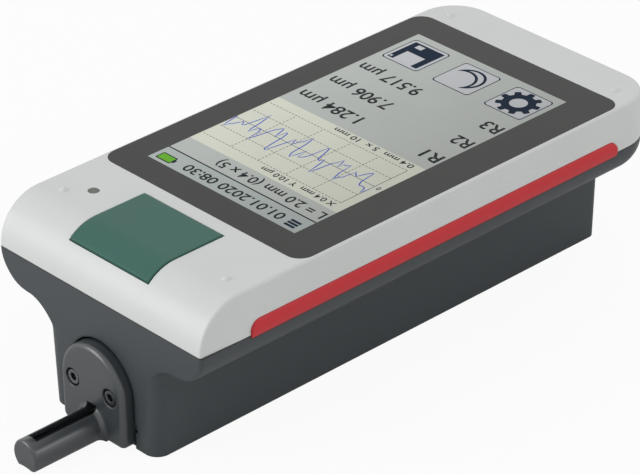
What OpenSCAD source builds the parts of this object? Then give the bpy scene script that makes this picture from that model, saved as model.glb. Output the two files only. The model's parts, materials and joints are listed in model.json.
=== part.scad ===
// Hand-held surface roughness tester: a display unit over a drive cassette that draws a stylus pickup.
// Millimetres. +Z is up, -Y is the pickup end, x = 0 is the middle plane and z = 0 the base.
// Lengths along Y are given from the front face of the housing; place() then centres the whole on y = 0.

/* [Body] */
// Width at the seam between cover and housing
body_w = 76.7; // [60:0.1:90]
// Length from the front face to the rear end
body_len = 162.3; // [140:0.1:190]
// Height of the flat top
body_h = 50.4; // [42:0.1:60]
// Height of the cover above the seam
cover_h = 12.7; // [11:0.1:15]
// Wall thickness of both shells
wall = 2; // [1.2:0.1:3]
// Plan radius of the rear corners
corner_r = 12; // [9.5:0.1:16]
// Clearance between pieces that are fitted together
fit = 0.05; // [0:0.01:0.2]

/* [Cover] */
// Thickness of the roof
roof = 3.2; // [2.6:0.1:4]
// How far each side wall leans in at the top
side_lean = 0.4; // [0:0.05:1]
// Edge radius round the top
edge_r = 0.7; // [0.3:0.05:1.5]
// Diameter of a locating bump
bump_d = 2.4; // [1.5:0.1:4]
// Height of a locating bump
bump_h = 0.6; // [0.3:0.05:1]
// Distance of a bump from the middle
bump_x = 30.5; // [20:0.1:34]
// Front pair of bumps, from the front face
bump_front_y = 15.4; // [13:0.1:25]
// Rear pair of bumps, from the front face
bump_rear_y = 152.8; // [150:0.1:157]

/* [Housing] */
// Depth of the tray below the seam
tray_depth = 9.5; // [9.2:0.1:12]
// Radius of the bowl-shaped edge under the tray
tray_r = 9; // [6:0.1:9.2]
// Width of the box at the base
box_w = 40; // [36:0.1:44]
// Length of the box
box_len = 158.6; // [140:0.1:160]
// Outward lean of the box walls, degrees
box_lean = 2.4; // [0:0.1:4]
// Radius of the upright front edges
box_front_r = 4; // [3:0.1:7]
// Radius of the upright rear edges
box_rear_r = 2.5; // [2.2:0.1:4]
// Radius of the hollow flare from box to tray
flare_r = 7.5; // [3:0.1:8]

/* [Trim inlays] */
// Length of an inlay
trim_len = 129.6; // [100:0.1:140]
// Front end of an inlay, from the front face
trim_y = 16; // [12:0.1:30]
// How far an inlay reaches below the seam
trim_drop = 1.3; // [0.5:0.1:2]
// Height of an inlay
trim_h = 5; // [3:0.1:7]
// Depth of an inlay in the wall
trim_depth = 1; // [0.5:0.1:1.4]
// How far an inlay stands out at its middle
trim_proud = 0.5; // [0.2:0.05:1]
// Radius of the upper end corners
trim_end_r = 3; // [0.5:0.1:3.2]
// Radius of the lower end corners
trim_foot_r = 0.8; // [0.3:0.1:1.6]

/* [Display] */
// Width of the glass
glass_w = 74.4; // [60:0.1:75]
// Length of the glass
glass_len = 115.1; // [90:0.1:116]
// Front edge of the glass, from the front face
glass_y = 33.3; // [31:0.1:45]
// Corner radius of the glass
glass_r = 4.5; // [2:0.1:8]
// Thickness of the glass
glass_t = 1.8; // [1:0.1:2.2]
// Width of the display panel
panel_w = 62; // [50:0.1:66]
// Length of the display panel
panel_len = 104; // [80:0.1:108]
// Thickness of the display panel
panel_t = 3; // [2:0.1:4]
// Sideways offset of the panel from the middle
panel_x = -2; // [-3:0.1:3]

/* [Start key] */
// Width of the key
key_w = 29.4; // [20:0.1:36]
// Front edge of the key, from the front face
key_front_y = 4.35; // [4:0.05:8]
// Rear edge of the key, from the front face
key_rear_y = 28.6; // [20:0.1:30]
// Gap round the key
key_gap = 0.35; // [0.2:0.05:0.6]
// How far the key stands proud of the cover
key_proud = 0.25; // [0:0.05:0.6]
// Thickness of the key's shell
key_t = 1.7; // [1:0.1:2.4]
// Travel of the key
key_travel = 0.6; // [0.3:0.1:1]
// Diameter of the stem under the key
key_stem_d = 4; // [3:0.1:6]
// Skirt height below the key's shell
key_skirt = 3; // [2.5:0.1:4]
// Reach of each stop tab under the cover
key_tab = 1.5; // [1:0.1:2.5]

/* [Electronics] */
// Width of the main board
board_w = 54; // [50:0.5:56]
// Front edge of the board, from the front face
board_front_y = 8; // [7:0.5:12]
// Rear edge of the board, from the front face
board_rear_y = 156; // [140:0.5:158]
// Underside of the board above the seam
board_lift = 0.7; // [0.2:0.1:1.5]
// Thickness of the board
board_t = 1.6; // [1:0.1:2]
// Diameter of a board post
post_d = 5; // [4:0.1:6]
// Distance of a board post from the middle
post_x = 22; // [21.5:0.1:23]
// Front pair of board posts, from the front face
post_front_y = 45; // [40:0.5:46]
// Rear pair of board posts, from the front face
post_rear_y = 135; // [132:0.5:140]
// Size of the battery: width, length, height
battery_size = [40, 70, 6.5]; // [4:0.5:80]
// Front end of the battery, from the front face
battery_y = 54; // [50:0.5:60]
// Size of the charge socket: width, depth, height
socket_size = [9, 7.4, 3.2]; // [2:0.1:12]
// Recess of the charge socket behind the rear wall
socket_recess = 1; // [0.5:0.1:1.5]
// Diameter of the status light
light_d = 3; // [2:0.1:4]
// Size of the processor: width, length, height
processor_size = [16, 16, 1.6]; // [1:0.1:24]
// Middle of the processor: across, and from the board's front edge
processor_at = [0, 70]; // [-20:0.5:120]
// Size of the memory chip: width, length, height
memory_size = [8, 11, 1.2]; // [1:0.1:20]
// Middle of the memory chip: across, and from the board's front edge
memory_at = [16, 71.5]; // [-20:0.5:120]
// Size of the supply module: width, length, height
supply_size = [12, 18, 2.4]; // [1:0.1:24]
// Middle of the supply module: across, and from the board's front edge
supply_at = [-14, 101]; // [-20:0.5:120]
// Size of the display plug: width, length, height
plug_size = [14, 5, 3]; // [1:0.1:20]
// Middle of the display plug: across, and from the board's front edge
plug_at = [11, 98.5]; // [-20:0.5:120]
// Distance of the status light left of the middle
light_x = 24.9; // [20:0.1:26]
// Status light, from the front face
light_y = 20.6; // [18:0.1:24]
// Size of the key switch: width, length, height
switch_size = [6, 6, 3.4]; // [2:0.1:8]
// Key switch, from the front face
switch_y = 17; // [14:0.5:20]
// Diameter of the switch plunger
plunger_d = 3; // [2:0.1:3.6]

/* [Case screws] */
// Shank diameter
case_screw_d = 2.5; // [2:0.1:3]
// Head diameter
case_head_d = 4.5; // [3.5:0.1:5]
// Head height
case_head_h = 2.2; // [1.5:0.1:2.6]
// Length under the head
case_screw_len = 12; // [8:0.5:14]
// Distance of a case screw from the middle
case_screw_x = 31.5; // [30:0.1:32]
// Front pair of case screws, from the front face
case_front_y = 20; // [18:0.5:24]
// Rear pair of case screws, from the front face
case_rear_y = 149; // [146:0.5:150]
// Height of the seat of a head above the tray's underside
case_seat_up = 3.7; // [3:0.1:5]
// Diameter of a case boss
case_boss_d = 6.4; // [5.5:0.1:7]

/* [Drive cassette] */
// Radius of the arched cassette
drive_r = 11.4; // [10:0.1:12]
// Wall between the channel's top and the tray's underside
channel_roof = 2.1; // [1:0.1:3]
// Underside of the cassette
drive_foot_z = 0.2; // [0.2:0.1:0.6]
// Gap between the cassette and its channel
drive_gap = 0.9; // [0.4:0.05:1.2]
// Wall thickness of the cassette
drive_wall = 1.5; // [1:0.1:2]
// Floor thickness of the cassette
drive_floor = 1; // [0.8:0.1:1.2]
// Thickness of the cassette's front wall
drive_front_t = 6; // [4:0.5:8]
// Rear end of the casing, from the front face
drive_rear_y = 122; // [118:0.5:126]
// Thickness of the end cap
cap_t = 3; // [2:0.1:4]
// Height of each guide rib above the base
rib_z = 5; // [4:0.1:8]
// Height of each guide rib
rib_h = 2; // [1:0.1:3]
// Reach of each guide rib
rib_reach = 1.5; // [1.2:0.1:1.6]
// Running clearance of each guide rib
rib_gap = 0.3; // [0.2:0.05:0.5]
// Diameter of a contact pin
pin_d = 1; // [0.6:0.1:1.2]
// Spacing of the contact pins
pin_pitch = 2.5; // [2:0.1:3]
// Number of contact pins
pin_count = 5; // [3:1:6]
// Length of a contact pin beyond the end cap
pin_len = 4; // [3:0.1:6]

/* [Pickup guard] */
// How far the front plate stands out of the housing
plate_proud = 3.5; // [2:0.1:5]
// How far the plate overlaps the casing's outline
plate_lip = 0.4; // [0:0.05:0.5]
// Thickness of the plate
plate_t = 4.1; // [3:0.1:5]
// Edge radius of the plate
plate_edge = 1.5; // [0.5:0.1:2]
// Radius of the lower corners of the plate
plate_corner = 2; // [1.6:0.1:4]
// How far the tube reaches in front of the housing
guard_reach = 25.4; // [20:0.1:30]
// Outer radius of the tube
guard_r = 4.5; // [4:0.1:5]
// Height of the tube's axis
guard_z = 3.5; // [3.2:0.1:4]
// Width of the opening along the tube's underside
guard_open_w = 4.6; // [4.4:0.1:5]
// Edge radius of the tube's end
guard_edge = 0.8; // [0.3:0.1:1]
// Radius where tube and plate meet
guard_root = 1.5; // [0.5:0.1:2]
// Wall thickness of the tube
guard_wall = 1.3; // [1:0.05:1.5]
// Thickness of the tube's closed end
guard_end_t = 1.4; // [1:0.1:2]
// Depth of the hollow under the closed end
guard_hollow = 0.45; // [0.1:0.05:0.8]
// Width of the slot along the top
slot_w = 3.1; // [2:0.1:4]
// Front end of the slot, in front of the housing
slot_reach = 22.4; // [20:0.1:24]
// Rise of the slot above the tube where it cuts the plate
slot_rise = 0.5; // [0.3:0.1:2]

/* [Guard screws] */
// Shank diameter
guard_screw_d = 2.5; // [2:0.1:3]
// Head diameter
guard_head_d = 4.4; // [4:0.1:5]
// Head height
guard_head_h = 2.4; // [2:0.1:2.6]
// Depth of a head below the face of the plate
guard_head_sunk = 0.2; // [0:0.05:0.6]
// Length under the head
guard_screw_len = 6; // [5:0.5:7]
// Distance of a screw from the middle
guard_screw_x = 7; // [6:0.1:8]
// Height of the screws above the arch's centre
guard_screw_up = 0.1; // [-1:0.1:1]
// Diameter of a head recess
guard_recess_d = 5.1; // [4.6:0.1:5.6]
// Hexagon of a head, across flats
hex_flats = 2; // [1.5:0.1:2.5]
// Depth of the hexagon
hex_depth = 1.3; // [1:0.1:1.6]

/* [Drive train] */
// Measuring path of the pickup
traverse = 17.5; // [5:0.5:19]
// Diameter of the lead screw
screw_d = 4; // [3:0.1:5]
// Height of the lead screw and motor above the arch's centre
screw_up = 2.1; // [0:0.1:3]
// Diameter of a guide rod
rod_d = 3; // [2:0.1:3.5]
// Distance of a guide rod from the middle
rod_x = 6; // [5:0.1:6.5]
// Height of the guide rods above the arch's centre
rod_up = 2.1; // [0:0.1:3]
// Front block, from the front face
front_block_y = 24; // [20:0.5:26]
// Room between the drawn-back carriage and the rear block
block_room = 4.5; // [1:0.5:6]
// Thickness of a block
block_t = 5; // [4:0.5:6]
// Length of the gearbox
gear_len = 13; // [10:0.5:16]
// Length of the motor
motor_len = 20; // [16:0.5:22]
// Diameter of gearbox and motor
motor_d = 12; // [10:0.5:13]
// Front of the carriage at rest, from the front face
carriage_y = 44; // [42:0.5:46]
// Length of the carriage
carriage_len = 14; // [10:0.5:16]
// Length of the pickup's holder
holder_len = 12; // [8:0.5:14]
// Wall of the holder beside the pickup
holder_wall = 0.8; // [0.5:0.1:1.5]
// Web of the holder between pickup and carriage
holder_web = 0.9; // [0.6:0.1:1.5]
// Running clearance of the shafts
run = 0.05; // [0.02:0.01:0.1]
// Size of the drive board: width, length, thickness
drive_board_size = [15, 34, 1.2]; // [1:0.1:40]

/* [Pickup] */
// Radius of the pickup
pickup_r = 2.4; // [2:0.05:2.5]
// Nose of the pickup, in front of the housing
pickup_reach = 22.8; // [20:0.1:23.4]
// Rear end of the pickup, from the front face
pickup_rear_y = 50; // [48:0.5:54]
// Height of the pickup's axis above the tube's axis
pickup_up = 0.5; // [0.3:0.1:0.6]
// Clearance of the openings that the pickup passes through
port_gap = 0.8; // [0.5:0.1:1]
// Width of the slot for the stylus arm
pickup_slot = 1.8; // [1.6:0.1:2]
// Width of the stylus arm
arm_w = 1.2; // [0.8:0.1:1.4]
// Height of the stylus arm
arm_h = 1; // [0.6:0.1:1.2]
// Height of the middle of the arm and its pivot
arm_z = 3.7; // [3.6:0.1:4]
// Pivot of the arm, in front of the housing
pivot_reach = 2.6; // [1:0.1:4]
// Diameter of the pivot pin
pivot_d = 0.8; // [0.6:0.1:1]
// Stylus tip, in front of the housing
tip_reach = 20.4; // [18:0.1:21]
// Lowest point of the stylus tip
tip_z = 0.2; // [0.1:0.05:0.4]
// Diameter of the stylus shank
tip_d = 0.8; // [0.5:0.1:1]
// Swing of the arm each way, degrees
arm_swing = 0.5; // [0.2:0.1:1]
// Middle of the skid, in front of the housing
skid_reach = 15.5; // [12:0.1:17]
// Length of the skid
skid_len = 5; // [3:0.1:6]
// Width of the skid
skid_w = 3.8; // [2.4:0.1:4]
// Lowest point of the skid
skid_z = 0.4; // [0.2:0.05:0.6]
// Radius of the skid's sole
skid_r = 8; // [4:0.5:25]

/* [Hidden] */
$fn = 72;
// Overshoot of a cutter past the face it opens
over = 2;
frame_y = (guard_reach - body_len) / 2;
half_w = body_w / 2;
top_half = half_w - side_lean;
seam_z = body_h - cover_h;
tray_z = seam_z - tray_depth;
trim_z = seam_z - trim_drop;
board_z = seam_z + board_lift;
case_seat_z = tray_z + case_seat_up;
cover_in_h = cover_h - roof;
inner_half = top_half - wall;
bump_r = (bump_d * bump_d / 4 + bump_h * bump_h) / (2 * bump_h);
rear_y = body_len - corner_r;
bowl_x = half_w - tray_r;
bowl_z = tray_z + tray_r;
flare_z = tray_z - flare_r;
flare_x = box_w / 2 + flare_z * tan(box_lean);
trim_r = (trim_h * trim_h / 4 + trim_proud * trim_proud) / (2 * trim_proud);
panel_y = glass_y + glass_len / 2;
key_skirt_z = body_h + key_proud - key_t - key_skirt;
board_top = board_z + board_t;
switch_top = board_top + switch_size[2];
switch_room = 1;
plunger_top = switch_top + key_travel + fit;
boss_bore_d = case_screw_d + 2 * fit;
// Gap round a case screw's head in its recess
head_gap = 0.25;
case_ys = [case_front_y, case_rear_y];
post_ys = [post_front_y, post_rear_y];
board_screw_d = 1.6;
board_head_d = 3.4;
board_head_h = 1.2;
board_screw_len = 6;
board_hex_d = 1.7;
board_hex_depth = 0.6;
// Tongue of contacts in the charge socket
tongue_w = 6;
tongue_t = 0.5;
channel_r = drive_r + drive_gap;
drive_z = tray_z - channel_roof - channel_r;
plate_r = drive_r + plate_lip;
screw_z = drive_z + screw_up;
rod_z = drive_z + rod_up;
guard_screw_z = drive_z + guard_screw_up;
guard_bore_r = guard_r - guard_wall;
slot_top_z = guard_z + guard_r + slot_rise;
pickup_z = guard_z + pickup_up;
carriage_z = pickup_z + pickup_r + holder_web;
channel_rear_y = drive_rear_y + cap_t + drive_gap;
casing_r = drive_r - drive_wall;
casing_floor_z = drive_foot_z + drive_floor;
drive_front_y = plate_t - plate_proud;
rib_rear_y = drive_rear_y + cap_t;
contact_up = 2.6;
contact_z = drive_z + contact_up;
contact_w = pin_count * pin_pitch + pin_pitch;
contact_h = 5;
contact_len = pin_len + wall;
contact_gap = 0.25;
// How far the end cap reaches into the casing
cap_insert = 1;
// Gap between the drive board and the casing's rear end
drive_board_gap = 2;
guard_seat_y = guard_head_h + guard_head_sunk - plate_proud;
// Half width of the tube where its underside is cut flat
guard_foot = sqrt(guard_r * guard_r - (guard_z - drive_foot_z) * (guard_z - drive_foot_z));
hollow_r = (guard_foot * guard_foot + guard_hollow * guard_hollow) / (2 * guard_hollow);
rear_block_y = carriage_y + carriage_len + traverse + block_room;
gear_y = rear_block_y + block_t;
motor_y = gear_y + gear_len;
gear_bore_len = 4;
carriage_gap = 0.6;
holder_w = 2 * (pickup_r + holder_wall);
// The holder's foot lies this far above the pickup's underside
holder_lift = 0.2;
holder_z = pickup_z - pickup_r + holder_lift;
port_r = pickup_r + port_gap;
arm_hub_r = 0.9;
arm_back = 1;
arm_nose = 0.8;
slot_play = 0.5;
// Clearance over the arm at the end of its swing
arm_room = 0.3;
arm_slot_z = arm_z + arm_h / 2 + tip_reach * sin(arm_swing) + arm_room;
cone_h = 1;
cone_tip_r = 0.05;

// Moves a piece from the front-face datum to the shared frame
module place() {
    translate([0, frame_y, 0]) children();
}

// Extrudes an (x, z) outline from y0 to y1
module along_y(y0, y1) {
    translate([0, y1, 0]) rotate([90, 0, 0]) linear_extrude(height = y1 - y0) children();
}

// Extrudes a (y, z) outline over a width centred on x = 0
module along_x(width) {
    rotate([90, 0, 90]) linear_extrude(height = width, center = true) children();
}

// A shaft along Y from y0 to y1; its seam is turned to the underside
module shaft(d, y0, y1) {
    translate([0, y0, 0]) rotate([-90, 0, 0]) rotate([0, 0, 90]) cylinder(d = d, h = y1 - y0);
}

// A shaft across the middle plane
module cross_shaft(d, width) {
    rotate([0, 90, 0]) cylinder(d = d, h = width, center = true);
}

module both_sides() {
    children();
    mirror([1, 0, 0]) children();
}

module rounded_2d(w, l, r) {
    square([w - 2 * r, l], center = true);
    square([w, l - 2 * r], center = true);
    for (sx = [-1, 1], sy = [-1, 1]) translate([sx * (w / 2 - r), sy * (l / 2 - r)]) circle(r);
}

// An arch: a half circle standing on straight sides
module arch_2d(r, z, foot_z) {
    intersection() {
        translate([0, z]) circle(r);
        translate([-r - over, foot_z]) square([2 * (r + over), z - foot_z + r + over]);
    }
    translate([-r, foot_z]) square([2 * r, z - foot_z]);
}

// Half section of a plate of radius r, with its outer front edge rounded
module plate_edge_2d(r, t, edge) {
    square([r - edge, t]);
    square([r, t - edge]);
    intersection() {
        translate([r - edge, t - edge]) circle(edge);
        square([r, t]);
    }
}

// Outline across the cover, from the seam up
module cover_profile() {
    shoulder = cover_h - edge_r;
    polygon([[-half_w, 0], [half_w, 0], [top_half, shoulder], [-top_half, shoulder]]);
    translate([edge_r - top_half, 0]) square([2 * (top_half - edge_r), cover_h]);
    for (s = [-1, 1]) translate([s * (top_half - edge_r), shoulder]) circle(edge_r);
}

// The same outline at the rear, measured outwards from a corner's centre
module cover_rear_profile() {
    shoulder = cover_h - edge_r;
    reach = corner_r - side_lean;
    polygon([[0, 0], [corner_r, 0], [reach, shoulder], [0, shoulder]]);
    square([reach - edge_r, cover_h]);
    translate([reach - edge_r, shoulder]) circle(edge_r);
}

// Sweeps a rear profile round the two corners and along the rear end
module rear_sweep() {
    translate([half_w - corner_r, rear_y, 0]) rotate_extrude(angle = 90) children();
    translate([corner_r - half_w, rear_y, 0]) rotate([0, 0, 90]) rotate_extrude(angle = 90) children();
    translate([0, rear_y, 0]) along_x(body_w - 2 * corner_r) children();
}

module cover_outside() {
    translate([0, 0, seam_z]) along_y(cover_h, rear_y) cover_profile();
    translate([0, 0, seam_z]) rear_sweep() cover_rear_profile();
    translate([0, cover_h, seam_z]) rotate([90, 0, 90]) rotate([0, 0, 90])
        rotate_extrude(angle = 90) rotate(-90) cover_profile();
}

module cover_inside() {
    in_r = corner_r - wall;
    translate([0, cover_h, seam_z]) cross_shaft(2 * cover_in_h, 2 * inner_half);
    translate([0, 0, seam_z - over]) linear_extrude(height = cover_in_h + over) {
        translate([-inner_half, cover_h]) square([2 * inner_half, body_len - wall - in_r - cover_h]);
        translate([in_r - inner_half, cover_h])
            square([2 * (inner_half - in_r), body_len - wall - cover_h]);
        for (s = [-1, 1]) translate([s * (inner_half - in_r), body_len - wall - in_r]) circle(in_r);
    }
}

module case_bosses(z0, z1) {
    for (y = case_ys) both_sides() translate([case_screw_x, y, z0])
        cylinder(d = case_boss_d, h = z1 - z0);
}

// The recess for the two trim inlays
module trim_groove() {
    both_sides() translate([half_w + (over - trim_depth) / 2, 0, 0]) along_x(over + trim_depth) trim_2d(0);
}

module glass_2d(grow) {
    translate([0, panel_y]) rounded_2d(glass_w + 2 * grow, glass_len + 2 * grow, glass_r + grow);
}

module socket_2d(grow) {
    w = socket_size[0] + 2 * grow;
    h = socket_size[2] + 2 * grow;
    rounded_2d(w, h, h / 2 - fit);
}

module top_cover() {
    color([0.78, 0.79, 0.78]) place() difference() {
        union() {
            difference() {
                cover_outside();
                cover_inside();
            }
            case_bosses(seam_z, seam_z + cover_in_h + fit);
            for (y = [bump_front_y, bump_rear_y]) both_sides() bump(y);
        }
        translate([0, 0, body_h - glass_t]) linear_extrude(height = glass_t + over) glass_2d(fit);
        translate([panel_x - panel_w / 2 - fit, panel_y - panel_len / 2 - fit, seam_z])
            cube([panel_w + 2 * fit, panel_len + 2 * fit, cover_h]);
        translate([-key_w / 2 - key_gap, key_front_y - key_gap, seam_z])
            cube([key_w + 2 * key_gap, key_rear_y - key_front_y + 2 * key_gap, cover_h + over]);
        translate([-light_x, light_y, seam_z]) cylinder(d = light_d + 2 * fit, h = cover_h + over);
        for (y = case_ys) both_sides() translate([case_screw_x, y, seam_z - over])
            cylinder(d = boss_bore_d, h = case_screw_len + over);
        translate([0, 0, board_top + socket_size[2] / 2]) along_y(body_len - wall - over, body_len + over)
            socket_2d(2 * contact_gap);
        trim_groove();
    }
}

module bump(y) {
    translate([bump_x, y, 0]) intersection() {
        translate([0, 0, body_h + bump_h - bump_r]) sphere(bump_r);
        translate([0, 0, body_h - edge_r]) cylinder(r = bump_r, h = over);
    }
}

// Outline across the tray; inset moves every face inwards
module tray_profile(inset) {
    half = half_w - inset;
    low = tray_z + inset;
    intersection() {
        union() {
            translate([-half, bowl_z]) square([2 * half, seam_z - bowl_z]);
            translate([-bowl_x, low]) square([2 * bowl_x, seam_z - low]);
            for (s = [-1, 1]) translate([s * bowl_x, bowl_z]) circle(tray_r - inset);
        }
        translate([-half, low]) square([2 * half, seam_z - low]);
    }
}

module tray_rear_profile(inset) {
    low = tray_z + inset;
    intersection() {
        union() {
            translate([0, bowl_z]) square([corner_r - inset, seam_z - bowl_z]);
            translate([0, low]) square([corner_r - tray_r, seam_z - low]);
            translate([corner_r - tray_r, bowl_z]) circle(tray_r - inset);
        }
        translate([0, low]) square([corner_r - inset, seam_z - low]);
    }
}

module tray_solid(inset) {
    along_y(inset, rear_y) tray_profile(inset);
    rear_sweep() tray_rear_profile(inset);
}

// Right half of the box in plan
module box_half_2d(inset) {
    half = box_w / 2 - inset;
    front = inset;
    rear = box_len - inset;
    fr = box_front_r - inset;
    rr = box_rear_r - inset;
    translate([-half, front]) square([2 * half - fr, fr]);
    translate([half - fr, front + fr]) circle(fr);
    translate([-half, front + fr]) square([2 * half, rear - rr - front - fr]);
    translate([-half, rear - rr]) square([2 * half - rr, rr]);
    translate([half - rr, rear - rr]) circle(rr);
}

// The box with leaning walls, from z0 up to z1
module box_solid(inset, z0, z1) {
    both_sides() intersection() {
        rotate([0, box_lean, 0]) translate([0, 0, -over]) linear_extrude(height = z1 + 2 * over)
            box_half_2d(inset);
        translate([0, inset, z0]) cube([half_w, box_len, z1 - z0]);
    }
}

// Section of the hollow flare, outwards from the box wall at x
module flare_2d(x) {
    difference() {
        translate([x - wall, flare_z]) square([flare_r + wall, flare_r + wall / 2]);
        translate([x + flare_r, flare_z]) circle(flare_r);
    }
}

// The flare runs along each side and round the front corner, cut flush with the front face
module flare() {
    corner_x = flare_x - box_front_r;
    both_sides() {
        along_y(box_front_r, rear_y) flare_2d(flare_x);
        intersection() {
            translate([corner_x, box_front_r, 0]) rotate([0, 0, -90]) rotate_extrude(angle = 90)
                flare_2d(box_front_r);
            cube([half_w, body_len, seam_z]);
        }
    }
}

module channel_2d(grow) {
    arch_2d(channel_r + grow, drive_z, -over);
}

module lower_housing() {
    tunnel_rear_y = channel_rear_y + wall;
    color([0.2, 0.22, 0.23]) place() difference() {
        union() {
            difference() {
                union() {
                    tray_solid(0);
                    box_solid(0, 0, tray_z + wall / 2);
                    flare();
                }
                tray_solid(wall);
                box_solid(wall, wall, bowl_z);
            }
            intersection() {
                along_y(0, tunnel_rear_y) channel_2d(wall);
                box_solid(0, 0, tray_z);
            }
            intersection() {
                case_bosses(tray_z - over, seam_z);
                tray_solid(0);
            }
            for (y = post_ys) both_sides() translate([post_x, y, tray_z + wall / 2])
                cylinder(d = post_d, h = board_z - tray_z - wall / 2);
        }
        along_y(-over, channel_rear_y) channel_2d(0);
        both_sides() translate([0, -over, rib_z - rib_gap])
            cube([drive_r + rib_reach + rib_gap, rib_rear_y + drive_gap + over, rib_h + 2 * rib_gap]);
        translate([-contact_w / 2, channel_rear_y - over, contact_z - contact_h / 2])
            cube([contact_w, 2 * over + wall, contact_h]);
        for (y = case_ys) both_sides() translate([case_screw_x, y, 0]) {
            cylinder(d = case_head_d + 2 * head_gap, h = case_seat_z);
            cylinder(d = boss_bore_d, h = body_h);
        }
        for (y = post_ys) both_sides() translate([post_x, y, board_z - board_screw_len])
            cylinder(d = board_screw_d + 2 * fit, h = body_h);
        trim_groove();
    }
}

// Outline of an inlay from the side, in (y, z); inset moves every edge inwards
module trim_2d(inset) {
    half = trim_len / 2 - inset;
    h = trim_h - 2 * inset;
    top_r = trim_end_r - inset;
    foot_r = trim_foot_r - inset;
    translate([trim_y + trim_len / 2, trim_z + inset]) both_sides() {
        square([half - top_r, h]);
        square([half - foot_r, h - top_r]);
        translate([0, foot_r]) square([half, h - top_r - foot_r]);
        translate([half - foot_r, foot_r]) circle(foot_r);
        translate([half - top_r, h - top_r]) intersection() {
            circle(top_r);
            square(top_r + over);
        }
    }
}

// One inlay on the +X side: a strip with a slightly domed face and rounded ends
module trim_strip() {
    color([0.72, 0.2, 0.24]) place() intersection() {
        along_y(trim_y - over, trim_y + trim_len + over) intersection() {
            translate([half_w + trim_proud - trim_r, trim_z + trim_h / 2]) circle(trim_r);
            translate([half_w - trim_depth + fit, trim_z - over])
                square([trim_depth + over, trim_h + 2 * over]);
        }
        translate([half_w, 0, 0]) along_x(2 * over + trim_depth) trim_2d(fit);
    }
}

module trim_right() {
    trim_strip();
}

module trim_left() {
    mirror([1, 0, 0]) trim_strip();
}

module display_glass() {
    color([0.16, 0.16, 0.16]) place() translate([0, 0, body_h - glass_t])
        linear_extrude(height = glass_t) glass_2d(0);
}

module display_panel() {
    low_z = body_h - glass_t - panel_t;
    color([0.6, 0.62, 0.6]) place() translate([panel_x - panel_w / 2, panel_y - panel_len / 2, low_z])
        cube([panel_w, panel_len, panel_t]);
}

// Shell of the key: it follows the cover's round front end
module key_shell() {
    outer = cover_h + key_proud;
    translate([0, cover_h, seam_z]) along_x(key_w) {
        translate([0, outer - key_t]) square([key_rear_y - cover_h, key_t]);
        intersection() {
            difference() {
                circle(outer);
                circle(outer - key_t);
            }
            translate([-outer, 0]) square([outer, outer]);
        }
    }
}

module start_key() {
    color([0.28, 0.44, 0.4]) place() {
        intersection() {
            key_shell();
            translate([-key_w / 2, key_front_y, seam_z + key_t])
                cube([key_w, key_rear_y - key_front_y, cover_h]);
        }
        both_sides() translate([key_w / 2 - key_t, cover_h, key_skirt_z])
            cube([key_t, key_rear_y - cover_h, key_skirt + key_t / 2]);
        both_sides() translate([key_w / 2 - key_t, cover_h, key_skirt_z])
            cube([key_t + key_tab, key_rear_y - cover_h, key_t / 2]);
        translate([0, switch_y, plunger_top])
            cylinder(d = key_stem_d, h = body_h - key_t / 2 - plunger_top);
    }
}

module switch_plunger() {
    color([0.15, 0.15, 0.15]) place() translate([0, switch_y, board_top + switch_room])
        cylinder(d = plunger_d, h = plunger_top - board_top - switch_room);
}

module key_switch() {
    color([0.5, 0.5, 0.5]) place() translate([0, switch_y, board_top]) difference() {
        translate([-switch_size[0] / 2, -switch_size[1] / 2, 0]) cube(switch_size);
        translate([0, 0, switch_room - key_travel - 2 * fit])
            cylinder(d = plunger_d + 2 * run, h = switch_size[2]);
    }
}

module status_light() {
    color([0.42, 0.44, 0.4]) place() translate([-light_x, light_y, board_top])
        cylinder(d = light_d, h = body_h - fit - board_top);
}

module main_board() {
    color([0.1, 0.32, 0.2]) place() difference() {
        translate([-board_w / 2, board_front_y, board_z])
            cube([board_w, board_rear_y - board_front_y, board_t]);
        for (y = post_ys) both_sides() translate([post_x, y, board_z - over])
            cylinder(d = board_screw_d + 2 * fit, h = 2 * over + board_t);
    }
}

module chip(size, at) {
    translate([at[0] - size[0] / 2, board_front_y + at[1] - size[1] / 2, board_top]) cube(size);
}

// Chips and the display plug on the main board
module board_chips() {
    color([0.12, 0.12, 0.13]) place() {
        chip(processor_size, processor_at);
        chip(memory_size, memory_at);
        chip(supply_size, supply_at);
        chip(plug_size, plug_at);
    }
}

module board_screws() {
    color([0.62, 0.62, 0.64]) place() for (y = post_ys) both_sides() translate([post_x, y, board_top]) {
        difference() {
            cylinder(d = board_head_d, h = board_head_h);
            translate([0, 0, board_head_h - board_hex_depth]) cylinder(d = board_hex_d, h = over, $fn = 6);
        }
        translate([0, 0, fit - board_screw_len]) cylinder(d = board_screw_d, h = board_screw_len);
    }
}

module battery() {
    color([0.2, 0.3, 0.5]) place() translate([-battery_size[0] / 2, battery_y, tray_z + wall])
        cube(battery_size);
}

module charge_socket() {
    mouth_y = body_len - socket_recess;
    color([0.7, 0.7, 0.72]) place() translate([0, 0, board_top + socket_size[2] / 2]) difference() {
        along_y(mouth_y - socket_size[1], mouth_y) socket_2d(0);
        along_y(mouth_y - socket_size[1] + wall, mouth_y + over) socket_2d(-contact_gap);
    }
    color([0.12, 0.12, 0.12]) place() translate([0, 0, board_top + socket_size[2] / 2])
        translate([-tongue_w / 2, mouth_y - socket_size[1] + wall - fit, -tongue_t / 2])
        cube([tongue_w, socket_size[1] - wall - socket_recess, tongue_t]);
}

module case_screws() {
    color([0.3, 0.3, 0.31]) place() for (y = case_ys) both_sides() translate([case_screw_x, y, case_seat_z])
        difference() {
            union() {
                translate([0, 0, -case_head_h]) cylinder(d = case_head_d, h = case_head_h);
                cylinder(d = case_screw_d, h = case_screw_len);
            }
            translate([0, 0, -case_head_h - over]) hex_socket(over + hex_depth);
        }
}

module hex_socket(h) {
    cylinder(d = hex_flats / cos(30), h = h, $fn = 6);
}

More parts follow.
